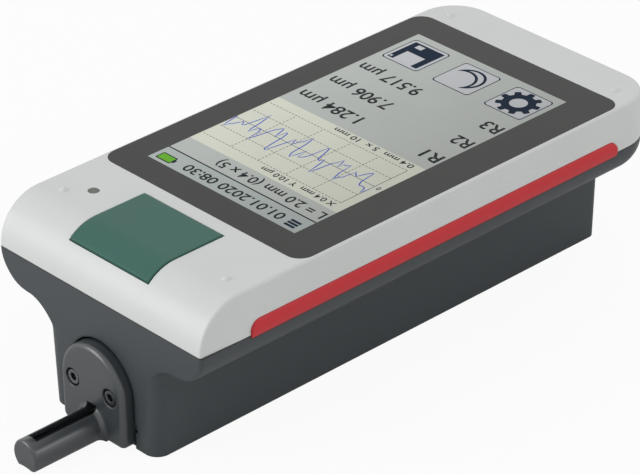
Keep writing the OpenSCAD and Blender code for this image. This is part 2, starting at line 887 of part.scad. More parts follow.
module drive_socket() {
    color([0.1, 0.1, 0.1]) place() difference() {
        translate([-contact_w / 2, channel_rear_y, contact_z - contact_h / 2])
            cube([contact_w, contact_len, contact_h]);
        pin_row(channel_rear_y - over, channel_rear_y + pin_len, pin_d + 2 * contact_gap);
    }
}

module pin_row(y0, y1, d) {
    for (i = [0 : pin_count - 1])
        translate([(i - (pin_count - 1) / 2) * pin_pitch, 0, contact_z]) shaft(d, y0, y1);
}

module drive_casing() {
    front_in = drive_front_y + drive_front_t;
    color([0.24, 0.25, 0.26]) place() difference() {
        union() {
            along_y(drive_front_y, drive_rear_y) arch_2d(drive_r, drive_z, drive_foot_z);
            both_sides() translate([drive_r - drive_wall / 2, drive_front_y, rib_z])
                cube([drive_wall / 2 + rib_reach, drive_rear_y - drive_front_y, rib_h]);
        }
        along_y(front_in, drive_rear_y + over) arch_2d(casing_r, drive_z, casing_floor_z);
        translate([0, 0, pickup_z]) shaft(2 * port_r, drive_front_y - over, front_in + over);
        translate([-port_r, drive_front_y - over, drive_foot_z - over])
            cube([2 * port_r, drive_front_t + over, pickup_z - drive_foot_z + over]);
        both_sides() translate([guard_screw_x, 0, guard_screw_z])
            shaft(guard_screw_d + 2 * fit, drive_front_y - over, front_in + over);
    }
}

module drive_end_cap() {
    color([0.14, 0.15, 0.16]) place() difference() {
        union() {
            along_y(drive_rear_y, drive_rear_y + cap_t) arch_2d(drive_r, drive_z, drive_foot_z);
            along_y(drive_rear_y - cap_insert, drive_rear_y + fit)
                arch_2d(casing_r - fit, drive_z, casing_floor_z + fit);
        }
        pin_row(drive_rear_y - over, drive_rear_y + cap_t + over, pin_d);
    }
}

module contact_pins() {
    color([0.8, 0.66, 0.3]) place()
        pin_row(drive_rear_y - cap_insert, drive_rear_y + cap_t + pin_len, pin_d);
}

// The plate seen from its back: its local z runs forward, out of the housing
module guard_plate() {
    side_z = drive_foot_z + plate_corner;
    corner_x = plate_r - plate_corner;
    translate([0, drive_front_y, 0]) rotate([90, 0, 0]) {
        translate([0, drive_z, 0]) rotate_extrude(angle = 180) plate_edge_2d(plate_r, plate_t, plate_edge);
        both_sides() translate([0, side_z, 0]) rotate([-90, 0, 0]) linear_extrude(height = drive_z - side_z)
            mirror([0, 1]) plate_edge_2d(plate_r, plate_t, plate_edge);
        both_sides() translate([corner_x, side_z, 0]) rotate([0, 0, -90]) rotate_extrude(angle = 90)
            plate_edge_2d(plate_corner, plate_t, plate_edge);
        translate([0, side_z, 0]) rotate([90, 0, -90]) linear_extrude(height = 2 * corner_x, center = true)
            plate_edge_2d(plate_corner, plate_t, plate_edge);
    }
}

// The round tube with its soft end and the hollow at the plate, cut flat along its underside
module guard_tube() {
    difference() {
        translate([0, -plate_proud, guard_z]) rotate([90, 0, 0]) rotate_extrude() {
            plate_edge_2d(guard_r, guard_reach - plate_proud, guard_edge);
            root_2d();
        }
        translate([-plate_r, -guard_reach - over, drive_foot_z - 2 * guard_r])
            cube([2 * plate_r, guard_reach + 2 * over, 2 * guard_r]);
    }
}

// Section of the hollow; its foot lies in the plate, behind the plate's rounded edge
module root_2d() {
    difference() {
        translate([0, -plate_edge]) square([guard_r + guard_root, guard_root + plate_edge]);
        translate([guard_r + guard_root, guard_root]) circle(guard_root);
    }
}

module pickup_guard() {
    bore_len = guard_reach - guard_end_t + drive_front_y + over;
    color([0.26, 0.27, 0.28]) place() difference() {
        union() {
            guard_plate();
            guard_tube();
        }
        translate([0, 0, guard_z]) shaft(2 * guard_bore_r, guard_end_t - guard_reach, drive_front_y + over);
        translate([-guard_open_w / 2, guard_end_t - guard_reach, drive_foot_z - over])
            cube([guard_open_w, bore_len, guard_z - drive_foot_z + over]);
        translate([-slot_w / 2, -slot_reach, guard_z])
            cube([slot_w, slot_reach + drive_front_y + over, slot_top_z - guard_z]);
        translate([0, 0, drive_foot_z + guard_hollow - hollow_r])
            shaft(2 * hollow_r, -guard_reach - over, guard_end_t + over - guard_reach);
        both_sides() translate([guard_screw_x, 0, guard_screw_z]) {
            shaft(guard_screw_d + 2 * fit, -plate_proud - over, drive_front_y + over);
            shaft(guard_recess_d, -plate_proud - over, guard_seat_y);
        }
    }
}

module guard_screws() {
    head_y = guard_seat_y - guard_head_h;
    color([0.2, 0.2, 0.21]) place() both_sides() translate([guard_screw_x, 0, guard_screw_z]) difference() {
        union() {
            shaft(guard_head_d, head_y, guard_seat_y);
            shaft(guard_screw_d, head_y + fit, guard_seat_y + guard_screw_len);
        }
        translate([0, head_y - over, 0]) rotate([-90, 0, 0]) hex_socket(over + hex_depth);
    }
}

// Shafts that cross a block: the lead screw and the two guide rods
module shaft_bores(y0, y1, screw_bore, rod_bore) {
    translate([0, 0, screw_z]) shaft(screw_bore, y0, y1);
    both_sides() translate([rod_x, 0, rod_z]) shaft(rod_bore, y0, y1);
}

module block(y0) {
    difference() {
        along_y(y0, y0 + block_t) arch_2d(casing_r, drive_z, casing_floor_z);
        shaft_bores(y0 - over, y0 + block_t + over, screw_d + 2 * run, rod_d);
        translate([0, 0, pickup_z]) shaft(2 * port_r, y0 - over, y0 + block_t + over);
        translate([-port_r, y0 - over, casing_floor_z - over])
            cube([2 * port_r, block_t + 2 * over, pickup_z - casing_floor_z + over]);
    }
}

module front_block() {
    color([0.66, 0.67, 0.68]) place() block(front_block_y);
}

module rear_block() {
    color([0.66, 0.67, 0.68]) place() block(rear_block_y);
}

module guide_rods() {
    color([0.75, 0.76, 0.78]) place() both_sides() translate([rod_x, 0, rod_z])
        shaft(rod_d, front_block_y, rear_block_y + block_t);
}

module gearbox() {
    color([0.6, 0.55, 0.4]) place() translate([0, 0, screw_z]) difference() {
        shaft(motor_d, gear_y, gear_y + gear_len);
        shaft(screw_d + 2 * run, gear_y - over, gear_y + gear_bore_len);
    }
}

module drive_motor() {
    color([0.55, 0.56, 0.58]) place() translate([0, 0, screw_z])
        shaft(motor_d, motor_y, motor_y + motor_len);
}

module lead_screw() {
    color([0.7, 0.71, 0.72]) place() translate([0, 0, screw_z])
        shaft(screw_d, front_block_y + 2 * fit, gear_y + gear_bore_len - 2 * fit);
}

module carriage() {
    rear = carriage_y + carriage_len;
    color([0.72, 0.6, 0.32]) place() difference() {
        along_y(carriage_y, rear) intersection() {
            arch_2d(casing_r - carriage_gap, drive_z, carriage_z);
            translate([-casing_r, carriage_z]) square([2 * casing_r, 2 * casing_r]);
        }
        shaft_bores(carriage_y - over, rear + over, screw_d + 2 * run, rod_d + 2 * run);
    }
}

module drive_board() {
    board_y = drive_rear_y - drive_board_gap - drive_board_size[1];
    color([0.1, 0.32, 0.2]) place() translate([-drive_board_size[0] / 2, board_y, casing_floor_z])
        cube(drive_board_size);
}

module pickup_holder() {
    color([0.3, 0.31, 0.32]) place() difference() {
        translate([-holder_w / 2, carriage_y, holder_z])
            cube([holder_w, holder_len, carriage_z - holder_z]);
        translate([0, 0, pickup_z]) shaft(2 * pickup_r, carriage_y - over, pickup_rear_y);
    }
}

module pickup_body() {
    color([0.62, 0.63, 0.65]) place() difference() {
        translate([0, 0, pickup_z]) shaft(2 * pickup_r, -pickup_reach, pickup_rear_y);
        translate([-pickup_slot / 2, -pickup_reach + slot_play, -over])
            cube([pickup_slot, pickup_reach - pivot_reach + arm_back, arm_slot_z + over]);
        translate([0, -pivot_reach, arm_z]) cross_shaft(pivot_d, 2 * (pickup_r + over));
    }
}

module skid() {
    color([0.5, 0.51, 0.53]) place() difference() {
        intersection() {
            translate([-skid_w / 2, -skid_reach - skid_len / 2, skid_z]) cube([skid_w, skid_len, pickup_r]);
            translate([0, -skid_reach, skid_z + skid_r]) cross_shaft(2 * skid_r, skid_w);
        }
        translate([0, 0, pickup_z]) shaft(2 * pickup_r, -pickup_reach, 0);
        translate([-pickup_slot / 2, -skid_reach - skid_len, -over])
            cube([pickup_slot, 2 * skid_len, 2 * pickup_r]);
    }
}

module pivot_pin() {
    color([0.75, 0.75, 0.77]) place() translate([0, -pivot_reach, arm_z])
        cross_shaft(pivot_d, 2 * pickup_r - 2 * slot_play);
}

module stylus_arm() {
    color([0.7, 0.7, 0.72]) place() difference() {
        union() {
            translate([-arm_w / 2, -tip_reach - arm_nose, arm_z - arm_h / 2])
                cube([arm_w, tip_reach + arm_nose - pivot_reach, arm_h]);
            translate([0, -pivot_reach, arm_z]) cross_shaft(2 * arm_hub_r, arm_w);
        }
        translate([0, -pivot_reach, arm_z]) cross_shaft(pivot_d + 2 * run, 2 * arm_w);
    }
}

module stylus_tip() {
    color([0.3, 0.3, 0.32]) place() translate([0, -tip_reach, tip_z]) {
        cylinder(r1 = cone_tip_r, r2 = tip_d / 2, h = cone_h);
        translate([0, 0, cone_h]) cylinder(d = tip_d, h = arm_z - arm_h / 2 - tip_z - cone_h);
    }
}

lower_housing();
top_cover();
trim_right();
trim_left();
display_glass();
display_panel();
start_key();
switch_plunger();
key_switch();
status_light();
main_board();
board_chips();
board_screws();
battery();
charge_socket();
case_screws();
drive_socket();
drive_casing();
drive_end_cap();
contact_pins();
pickup_guard();
guard_screws();
drive_motor();
gearbox();
lead_screw();
front_block();
rear_block();
guide_rods();
carriage();
drive_board();
pickup_holder();
pickup_body();
skid();
pivot_pin();
stylus_arm();
stylus_tip();
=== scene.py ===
"""Finished look of a hand-held surface roughness tester, built round its solid parts."""

import json
import math

import bmesh
import bpy
from bpy.props import FloatProperty, FloatVectorProperty, PointerProperty
from mathutils import Matrix, Vector

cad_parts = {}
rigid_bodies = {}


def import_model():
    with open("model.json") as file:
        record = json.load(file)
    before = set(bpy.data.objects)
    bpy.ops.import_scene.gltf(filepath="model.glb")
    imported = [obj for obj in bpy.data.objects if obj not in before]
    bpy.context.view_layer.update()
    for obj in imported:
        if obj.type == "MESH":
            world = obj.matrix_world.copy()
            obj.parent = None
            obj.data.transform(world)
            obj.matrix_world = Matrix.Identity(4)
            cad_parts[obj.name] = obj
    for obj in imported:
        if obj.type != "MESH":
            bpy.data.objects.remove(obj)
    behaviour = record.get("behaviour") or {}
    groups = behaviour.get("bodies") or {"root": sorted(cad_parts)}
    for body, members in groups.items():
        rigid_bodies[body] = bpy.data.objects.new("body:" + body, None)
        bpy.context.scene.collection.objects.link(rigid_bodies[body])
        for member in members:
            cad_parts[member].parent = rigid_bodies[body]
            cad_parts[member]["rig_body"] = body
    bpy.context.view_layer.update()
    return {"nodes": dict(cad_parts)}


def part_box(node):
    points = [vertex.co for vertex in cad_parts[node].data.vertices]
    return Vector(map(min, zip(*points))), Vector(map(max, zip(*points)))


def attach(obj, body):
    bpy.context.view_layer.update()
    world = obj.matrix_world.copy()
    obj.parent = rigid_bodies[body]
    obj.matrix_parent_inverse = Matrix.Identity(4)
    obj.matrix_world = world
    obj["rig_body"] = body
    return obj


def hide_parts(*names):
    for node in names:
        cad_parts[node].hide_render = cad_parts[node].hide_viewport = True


bl_info = {
    "name": "Surface Roughness Tester",
    "version": (1, 0, 0),
    "blender": (4, 5, 0),
    "location": "View3D > Sidebar > Tester",
    "description": "Builds the finished look of a hand-held surface roughness tester round its solid parts",
    "category": "Object",
}

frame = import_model()

MM = 0.001
FRONT_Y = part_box("lower_housing")[0].y
TOP_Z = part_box("display_glass")[1].z
SEAM_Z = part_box("top_cover")[0].z
# Points that are closer than this are one point, in a solid's mesh and in the print
WELD = 0.0005 * MM
PRINT_WELD = 0.0002 * MM
# Points whose places differ by less than this are level
LEVEL = 0.01 * MM
# Faces that turn by less than this are one flat face
FLAT = math.radians(0.2)
# Edges that turn by more than this are sharp
SHARP = math.radians(30)
# Edges of openings turn by more than this, and those round the bumps by less
STEEP = math.radians(60)
# Height of a figure in the built-in font, as a share of the font size
FIGURE_SHARE = 0.7
# Added to each side of a stroke of the lettering, as a share of the font size
LETTER_WEIGHT = 0.016
# Sizes of the patterns in the finishes
CLOUD = 18 * MM
TOOL_MARK = 0.25 * MM
TOOL_DEPTH = 0.004 * MM
STAIN = 4 * MM
PAD_PITCH = 2.6 * MM
TRACK = 1.2 * MM
TRACK_TALL = 0.03 * MM
SMEAR = 9 * MM
SPECK = 0.3 * MM
GLOW_CLOUD = 14 * MM
DOT = 0.22 * MM
# Scales of patterns: rings round y, lines along y or z, and the tracks of a board
RINGS_Y = (0.2, 4.0, 0.2)
LINES_Y = (1.0, 0.05, 1.0)
LINES_Z = (1.0, 1.0, 0.1)
TRACKS_Y = (1.0, 0.2, 1.0)
# Scene-linear colours
WHITE = (1.0, 1.0, 1.0, 1.0)
TINNED = (0.62, 0.58, 0.45, 1.0)


def linear(red, green, blue):
    """Scene-linear colour of an 8-bit display colour."""

    def channel(value):
        share = value / 255
        if share <= 0.04045:
            return share / 12.92
        return ((share + 0.055) / 1.055) ** 2.4

    return tuple(channel(value) for value in (red, green, blue))


def rgba(tone):
    return (*tone[:3], 1.0)


def shade(tone, factor):
    """The colour made lighter or darker by a factor, with full opacity."""
    return rgba([min(1.0, channel * factor) for channel in tone[:3]])


def length(label, text, millimetres):
    return FloatProperty(name=label, description=text, default=millimetres * MM, unit="LENGTH", precision=5)


def position(label, text, *millimetres):
    metres = [part * MM for part in millimetres]
    return FloatVectorProperty(name=label, description=text, default=metres, subtype="TRANSLATION")


def degrees(label, text, value):
    return FloatProperty(name=label, description=text, default=math.radians(value), subtype="ANGLE")


def fraction(label, text, value):
    return FloatProperty(name=label, description=text, default=value, subtype="FACTOR")


def number(label, text, value, unit="NONE"):
    return FloatProperty(name=label, description=text, default=value, unit=unit)


def colour(label, text, red, green, blue):
    tone = linear(red, green, blue)
    return FloatVectorProperty(name=label, description=text, default=tone, subtype="COLOR", min=0, max=1)


class ShellSizes(bpy.types.PropertyGroup):
    """Edge roundings of the pieces, the seam, the slot in the guard and the grain of the plastics."""

    cover_edge: length("Cover edge", "Rounding of the openings and edges of the cover", 0.15)
    housing_edge: length("Housing edge", "Rounding of the small edges of the housing", 0.25)
    housing_soft: length("Housing softness", "Radius over which the housing's edges look rounded", 0.8)
    front_edge: length("Front edge", "Rounding of the housing's front edge round the tray", 1.3)
    front_full: length("Full rounding", "Distance from the middle where that rounding is full", 36.0)
    front_fade: length("Faded rounding", "Distance from the middle where that rounding ends", 28.0)
    # This height sets the bands of painted shade at the gap under the cover and along the inlays' lower
    # edges
    seam: length("Seam", "Height of the shaded gap under the cover", 0.4)
    key_edge: length("Key edge", "Rounding of the key's edges", 0.3)
    key_soft: length("Key softness", "Radius over which the key's edges look rounded", 0.6)
    key_corner: length("Key corner", "Rounding of the key's two front corners", 0.5)
    trim_edge: length("Inlay edge", "Rounding of the edges of the side inlays", 0.25)
    trim_soft: length("Inlay crown", "Radius over which an inlay's face looks crowned", 0.9)
    glass_edge: length("Glass edge", "Ground edge of the display glass", 0.12)
    guard_edge: length("Guard edge", "Rounding of the edges of the pickup guard", 0.3)
    guard_soft: length("Guard softness", "Radius over which the guard's edges look rounded", 0.6)
    slot_wide: length("Slot width", "Width of the slot along the guard's tube", 3.6)
    slot_reach: length("Slot reach", "Front end of that slot, from the front face", 22.6)
    slot_past: length("Slot run-out", "Way of the cut for that slot behind the guard", 1.0)
    slot_low: length("Slot foot", "Height where the cut for that slot starts", 4.0)
    slot_top: length("Slot top", "Height of the slot's top in the guard's plate", 9.2)
    metal_edge: length("Metal edge", "Broken edge of the small metal pieces", 0.18)
    grain: length("Moulded grain", "Size of the eroded grain on moulded plastic", 0.35)


class ShellColours(bpy.types.PropertyGroup):
    """Colours of the outer pieces."""

    cover: colour("Cover", "Light grey plastic of the cover", 205, 208, 206)
    housing: colour("Housing", "Dark grey plastic of the housing", 55, 61, 64)
    inlay: colour("Inlay", "Red plastic of the side inlays", 196, 50, 56)
    key: colour("Key", "Green plastic of the start key", 61, 101, 91)
    guard: colour("Guard", "Dark grey finish of the pickup guard", 50, 55, 58)
    glass: colour("Glass border", "Printed border under the display glass", 48, 48, 47)
    lens: colour("Light lens", "Unlit lens of the status light", 84, 89, 81)


class InnerColours(bpy.types.PropertyGroup):
    """Colours of the screws and of the pieces inside."""

    screw: colour("Screw", "Dark steel of the guard and case screws", 112, 114, 117)
    turned: colour("Turned steel", "Steel of the board screws, the lead screw and the motor", 184, 186, 190)
    ground: colour("Ground steel", "Steel of the rods, the skid and the small bright pieces", 196, 198, 202)
    dark: colour("Dark steel", "Steel of the pickup's body and tip", 44, 45, 47)
    alloy: colour("Alloy", "Milled alloy of the drive's blocks", 206, 208, 211)
    brass: colour("Brass", "Brass of the gearbox, the carriage and the contacts", 204, 174, 104)
    can: colour("Switch can", "Metal can of the key's switch", 190, 190, 188)
    plunger: colour("Plunger", "Plastic of the switch's plunger", 30, 30, 32)
    black: colour("Black plastic", "Plastic of the chips, the drive's ends and the holder", 34, 35, 37)
    casing: colour("Casing", "Finish of the cassette's casing", 62, 66, 69)
    panel: colour("Panel", "Back of the display panel", 150, 152, 150)
    wrap: colour("Wrap", "Wrap of the battery", 58, 84, 138)
    board: colour("Board", "Mask of the circuit boards", 24, 92, 58)


class FastenerSizes(bpy.types.PropertyGroup):
    """Sizes of the screws and of the drive's thread."""

    guard_head: length("Guard screw head", "Diameter of a guard screw's head", 4.4)
    guard_head_tall: length("Guard head height", "Height of a guard screw's head", 2.4)
    case_head: length("Case screw head", "Diameter of a case screw's head", 4.5)
    case_head_tall: length("Case head height", "Height of a case screw's head", 2.2)
    head_play: length("Head play", "Gap that shows round a screw's head", 0.2)
    shank: length("Shank", "Diameter of a guard or case screw's shank", 2.5)
    hexagon: length("Hexagon", "Hexagon of a guard or case screw, across its corners", 2.3)
    hexagon_deep: length("Hexagon depth", "Depth of that hexagon", 1.9)
    board_head: length("Board screw head", "Diameter of a board screw's head", 3.4)
    board_head_tall: length("Board head height", "Height of a board screw's head", 1.2)
    board_shank: length("Board screw shank", "Diameter of a board screw's shank", 1.6)
    board_hexagon: length("Board hexagon", "Hexagon of a board screw, across its corners", 1.7)
    board_hexagon_deep: length("Board hexagon depth", "Depth of that hexagon", 0.6)
    lead: length("Lead", "Way of the carriage in one turn of the lead screw", 2.5)
    thread_deep: length("Thread depth", "Depth of the lead screw's thread", 0.35)


class ScreenLayout(bpy.types.PropertyGroup):
    """Sizes of what the display shows; it is read with its top towards the key."""

    left: length("Left edge", "Left edge of the picture, from the middle plane", 26.1)
    top: length("Top edge", "Top edge of the picture, from the front face", 42.0)
    width: length("Width", "Width of the picture", 54.9)
    height: length("Height", "Height of the picture", 97.0)
    bar: length("Status bar", "Height of the status bar", 7.0)
    rule: length("Rule", "Thickness of the line under the status bar", 0.45)
    graph_top: length("Graph top", "Top of the graph, from the top of the picture", 14.3)
    graph_bottom: length("Graph bottom", "Bottom of the graph, from the top of the picture", 45.4)
    grid_left: length("Grid left", "Start of the grid, from the left edge", 2.8)
    grid_pitch: length("Grid pitch", "Spacing of the upright grid lines", 10.25)
    grid_top: length("Grid top", "First level grid line, from the top of the picture", 18.4)
    grid_step: length("Grid step", "Spacing of the level grid lines", 5.82)
    dash: length("Dash", "Length of a dash of the grid", 0.75)
    dash_pitch: length("Dash pitch", "Spacing of the dashes of the grid", 1.2)
    line: length("Line", "Thickness of the grid lines", 0.2)
    trace: length("Trace", "Thickness of the measured trace", 0.36)
    trace_tall: length("Trace height", "Height of a wave of the trace", 3.6)
    row_first: length("First row", "Middle of the first value, from the top of the picture", 51.4)
    row_step: length("Row step", "Spacing of the values", 10.9)
    row_base: length("Row base", "Base line of a value, from the middle of its row", 2.0)
    row_tall: length("Row height", "Height of a value's figures", 4.3)
    name_start: length("Name start", "Start of a value's name", 0.9)
    name_end: length("Name end", "End of a value's name", 7.0)
    value_start: length("Value start", "Start of a value's figures", 30.4)
    value_end: length("Value end", "End of a value's unit", 53.0)
    icon: length("Icon", "Side of an icon", 13.4)
    icon_top: length("Icon top", "Top of the icons, from the top of the picture", 80.9)
    icon_first: length("First icon", "Left edge of the first icon", 1.6)
    icon_step: length("Icon step", "Spacing of the icons", 19.05)
    icon_line: length("Icon line", "Thickness of the line round an icon", 0.3)
    icon_corner: length("Icon corner", "Rounding of an icon's corners", 1.1)
    fade: fraction("Fade", "Light at the left edge, as a share of the right edge", 0.76)
    layer: length("Layer", "Height of each printed layer over the one below", 0.015)


class ScreenColours(bpy.types.PropertyGroup):
    """Colours that the display shows."""

    paper: colour("Background", "Background of the picture", 176, 180, 176)
    bar: colour("Status bar", "Background of the status bar", 166, 174, 171)
    graph: colour("Graph", "Background of the graph", 204, 207, 193)
    ink: colour("Ink", "Dark lettering and lines", 32, 38, 40)
    grid: colour("Grid", "Lines of the grid", 96, 100, 94)
    trace: colour("Trace", "Measured trace", 64, 82, 184)
    navy: colour("Symbols", "Symbols on the icons", 15, 34, 53)
    icon: colour("Icon face", "Face of an icon", 186, 188, 191)
    charge: colour("Charge", "Charge shown in the battery symbol", 98, 167, 44)


class StageSettings(bpy.types.PropertyGroup):
    """Camera, light and floor."""

    azimuth: degrees("Azimuth", "Camera's turn from the front", 47.152)
    elevation: degrees("Elevation", "Camera's height angle", 30.279)
    roll: degrees("Roll", "Camera's roll", -0.86)
    distance: length("Distance", "Camera's distance from its target", 929.665)
    near: length("Near limit", "Nearest distance that the camera sees", 50)
    target: position("Target", "Point in the middle of the picture", 0.424, 5.857, 25.4)
    lens: number("Lens", "Focal length on a 36 mm sensor, in millimetres", 202.14, "CAMERA")
    sky: number("Sky", "Strength of the even light from all round", 0.74)
    key_power: number("Key light", "Power of the soft light at the front left", 4.3, "POWER")
    key_place: position("Key light place", "Middle of that light", -500, -850, 400)
    key_size: length("Key light size", "Diameter of that light", 700)
    side_power: number("Side light", "Power of the light at the rear right", 1.5, "POWER")
    side_place: position("Side light place", "Middle of that light", 850, 650, 600)
    side_size: length("Side light size", "Diameter of that light", 500)
    floor_white: fraction("Floor white", "Share of plain white in the floor as it is seen", 0.93)
    floor_mirror: fraction("Mirrored white", "Share of plain white in the mirrored floor", 0.12)
    floor_grey: fraction("Floor grey", "Grey of the floor as the light meets it", 0.75)
    floor_size: length("Floor", "Side of the floor", 6000)
    floor_gap: length("Floor gap", "Gap between the floor and the tester's base", 0.05)


class Wire:
    """A node's output that takes part in arithmetic; each step adds one Math node."""

    def __init__(self, graph, socket):
        self.graph = graph
        self.socket = socket

    def math(self, operation, first, second):
        return self.graph.node("ShaderNodeMath", {"operation": operation}, {0: first, 1: second})

    def __add__(self, other):
        return self.math("ADD", self, other)

    def __sub__(self, other):
        return self.math("SUBTRACT", self, other)

    def __rsub__(self, other):
        return self.math("SUBTRACT", other, self)

    def __mul__(self, other):
        return self.math("MULTIPLY", self, other)

    def __truediv__(self, other):
        return self.math("DIVIDE", self, other)

    def __rtruediv__(self, other):
        return self.math("DIVIDE", other, self)

    def above(self, other):
        return self.math("GREATER_THAN", self, other)

    def most(self, other):
        return self.math("MAXIMUM", self, other)

    __radd__ = __add__
    __rmul__ = __mul__


class Graph:
    """A node tree that one method fills."""

    def __init__(self, tree):
        self.tree = tree

    def socket(self, node, key):
        for candidate in node.inputs:
            if candidate.identifier == key:
                return candidate
        return node.inputs[key]

    def node(self, kind, settings=None, sockets=None, output=0):
        """Adds a node, sets it up, feeds its sockets and gives one output."""
        made = self.tree.nodes.new(kind)
        for name, value in (settings or {}).items():
            setattr(made, name, value)
        for key, value in (sockets or {}).items():
            self.feed(self.socket(made, key), value)
        return Wire(self, made.outputs[output])

    def feed(self, socket, value):
        if isinstance(value, list):
            for item in value:
                self.feed(socket, item)
        elif isinstance(value, Wire):
            self.tree.links.new(value.socket, socket)
        else:
            socket.default_value = value

    def mix(self, factor, first, second):
        """A colour between two colours."""
        inputs = {"Factor_Float": factor, "A_Color": first, "B_Color": second}
        return self.node("ShaderNodeMix", {"data_type": "RGBA"}, inputs, 2)


class Recipe(Graph):
    """A Geometry Nodes tree with named inputs, which shapes a piece from a mesh of points."""

    def __init__(self, name, floats=(), vectors=()):
        super().__init__(bpy.data.node_groups.new(name, "GeometryNodeTree"))
        face = self.tree.interface
        face.new_socket("Geometry", in_out="INPUT", socket_type="NodeSocketGeometry")
        face.new_socket("Geometry", in_out="OUTPUT", socket_type="NodeSocketGeometry")
        self.keys = {}
        for names, kind in ((floats, "NodeSocketFloat"), (vectors, "NodeSocketVector")):
            for label in names:
                self.keys[label] = face.new_socket(label, in_out="INPUT", socket_type=kind).identifier
        self.entry = self.tree.nodes.new("NodeGroupInput")

    def given(self, label):
        return Wire(self, self.entry.outputs[label])

    def vector(self, x, y, z):
        return self.node("ShaderNodeCombineXYZ", None, {"X": x, "Y": y, "Z": z})

    def moved(self, shape, z):
        place = self.vector(0.0, 0.0, z)
        return self.node("GeometryNodeTransform", None, {"Geometry": shape, "Translation": place})

    def cylinder(self, diameter, low, tall, sides, rings=1):
        """An upright cylinder from a low end."""
        sizes = {"Vertices": sides, "Side Segments": rings, "Radius": diameter / 2, "Depth": tall}
        return self.moved(self.node("GeometryNodeMeshCylinder", None, sizes), tall / 2 + low)

    def combined(self, operation, sockets):
        settings = {"operation": operation, "solver": "EXACT"}
        return self.node("GeometryNodeMeshBoolean", settings, sockets)

    def close(self, shape, material):
        """Ends the tree."""
        whole = self.node("GeometryNodeRealizeInstances", None, {"Geometry": shape})
        inputs = {"Geometry": whole, "Material": material}
        coloured = self.node("GeometryNodeSetMaterial", None, inputs)
        self.tree.links.new(coloured.socket, self.tree.nodes.new("NodeGroupOutput").inputs[0])

    def make(self, name, points, sizes):
        """A plain mesh that the tree shapes from points."""
        piece = plain_object(name, points)
        step = piece.modifiers.new("shape", "NODES")
        step.node_group = self.tree
        for label, value in sizes.items():
            step[self.keys[label]] = value
        return settle(piece)


class Finish(Graph):
    """A material with a Principled shader and patterns on Object coordinates."""

    def __init__(self, name):
        self.material = bpy.data.materials.new(name)
        self.material.use_nodes = True
        super().__init__(self.material.node_tree)
        self.shader = self.tree.nodes["Principled BSDF"]
        self.place = self.node("ShaderNodeTexCoord", output="Object")

    def stretched(self, scale):
        return self.node("ShaderNodeMapping", None, {"Vector": self.place, "Scale": scale})

    def axis(self, name):
        return self.node("ShaderNodeSeparateXYZ", None, {"Vector": self.place}, name)

    def noise(self, feature, detail=2.0, vector=None):
        """Soft noise whose spots are about one feature wide, in metres."""
        inputs = {"Vector": vector or self.place, "Scale": 1 / feature, "Detail": detail}
        return self.node("ShaderNodeTexNoise", None, inputs)

    def relief(self, height, depth, soft=0.0):
        """A relief of the given depth, on edges that look rounded by a radius."""
        inputs = {"Height": height, "Distance": depth, "Strength": 1.0}
        if soft:
            inputs["Normal"] = self.node("ShaderNodeBevel", {"samples": 6}, {"Radius": soft})
        return self.node("ShaderNodeBump", None, inputs)

    def blend(self, first, second, share):
        """A share of one mask with the rest of another."""
        return first * share + second * (1 - share)

    def varied(self, middle, *parts):
        """A value that swings round a middle; each part is a mask and its whole swing."""
        value = middle - sum(swing for mask, swing in parts) / 2
        for mask, swing in parts:
            value = mask * swing + value
        return value

    def mottled(self, mask, base, dark, light):
        """A colour that goes from a darker to a lighter shade of its base."""
        return self.mix(mask, shade(base, dark), shade(base, light))

    def surface(self, sockets):
        for name, value in sockets.items():
            self.feed(self.shader.inputs[name], value)
        return self.material


def moulded(name, base, rough, grain, depth, sheen=0.5, soft=0.0, gap=None):
    """Moulded plastic: eroded grain, with faint clouds of colour and gloss, and painted shade on the band
    that a gap mask picks.
    """
    finish = Finish(name)
    cloud = finish.noise(CLOUD, detail=3.0)
    grit = finish.noise(grain)
    tone = finish.mottled(finish.blend(cloud, grit, share=0.7), base, dark=0.95, light=1.05)
    # Painted shade: where the gap mask is on, the colour is darkened to a quarter of the base, in place of
    # the shade in a gap between parts
    if gap:
        painted_shade = shade(base, 0.25)
        tone = finish.mix(gap(finish.axis("Z")), tone, painted_shade)
    return finish.surface({
        "Base Color": tone,
        "Roughness": finish.varied(rough, (cloud, 0.08), (grit, 0.1)),
        "Specular IOR Level": sheen,
        "Normal": finish.relief(grit, depth, soft),
    })


def turned_metal(name, base, rough, stretch):
    """Machined metal: fine tool marks drawn out along one way."""
    finish = Finish(name)
    marks = finish.noise(TOOL_MARK, detail=3.0, vector=finish.stretched(stretch))
    stain = finish.noise(STAIN)
    return finish.surface({
        "Base Color": finish.mottled(finish.blend(marks, stain, share=0.6), base, dark=0.82, light=1.12),
        "Metallic": 1.0,
        "Roughness": finish.varied(rough, (marks, 0.18), (stain, 0.1)),
        "Normal": finish.relief(marks, TOOL_DEPTH),
    })


def circuit(name, base):
    """Circuit board: green mask over tracks, with tinned pads."""
    finish = Finish(name)
    cells = {"Vector": finish.place, "Scale": 1 / PAD_PITCH, "Randomness": 0.35}
    pads = finish.node("ShaderNodeTexVoronoi", {"distance": "CHEBYCHEV"}, cells)
    tracks = finish.noise(TRACK, detail=0.0, vector=finish.stretched(TRACKS_Y))
    pad_half = 0.16
    track_level = 0.54
    is_pad = 1 - pads.above(pad_half)
    is_track = tracks.above(track_level)
    mask = finish.mottled(is_track, base, dark=0.75, light=1.35)
    return finish.surface({
        "Base Color": finish.mix(is_pad, mask, TINNED),
        "Metallic": is_pad,
        "Roughness": finish.varied(0.36, (is_pad, -0.12)),
        "Normal": finish.relief(is_track + is_pad, TRACK_TALL),
    })


def printed_glass(name, base):
    """Dark glass with a print behind it: a clear gloss with faint smears."""
    finish = Finish(name)
    smear = finish.noise(SMEAR, detail=4.0)
    speck = finish.noise(SPECK, detail=1.0)
    return finish.surface({
        "Base Color": finish.mottled(smear, base, dark=0.85, light=1.15),
        "Roughness": finish.varied(0.085, (smear, 0.05), (speck, 0.02)),
        "Specular IOR Level": 0.2,
    })


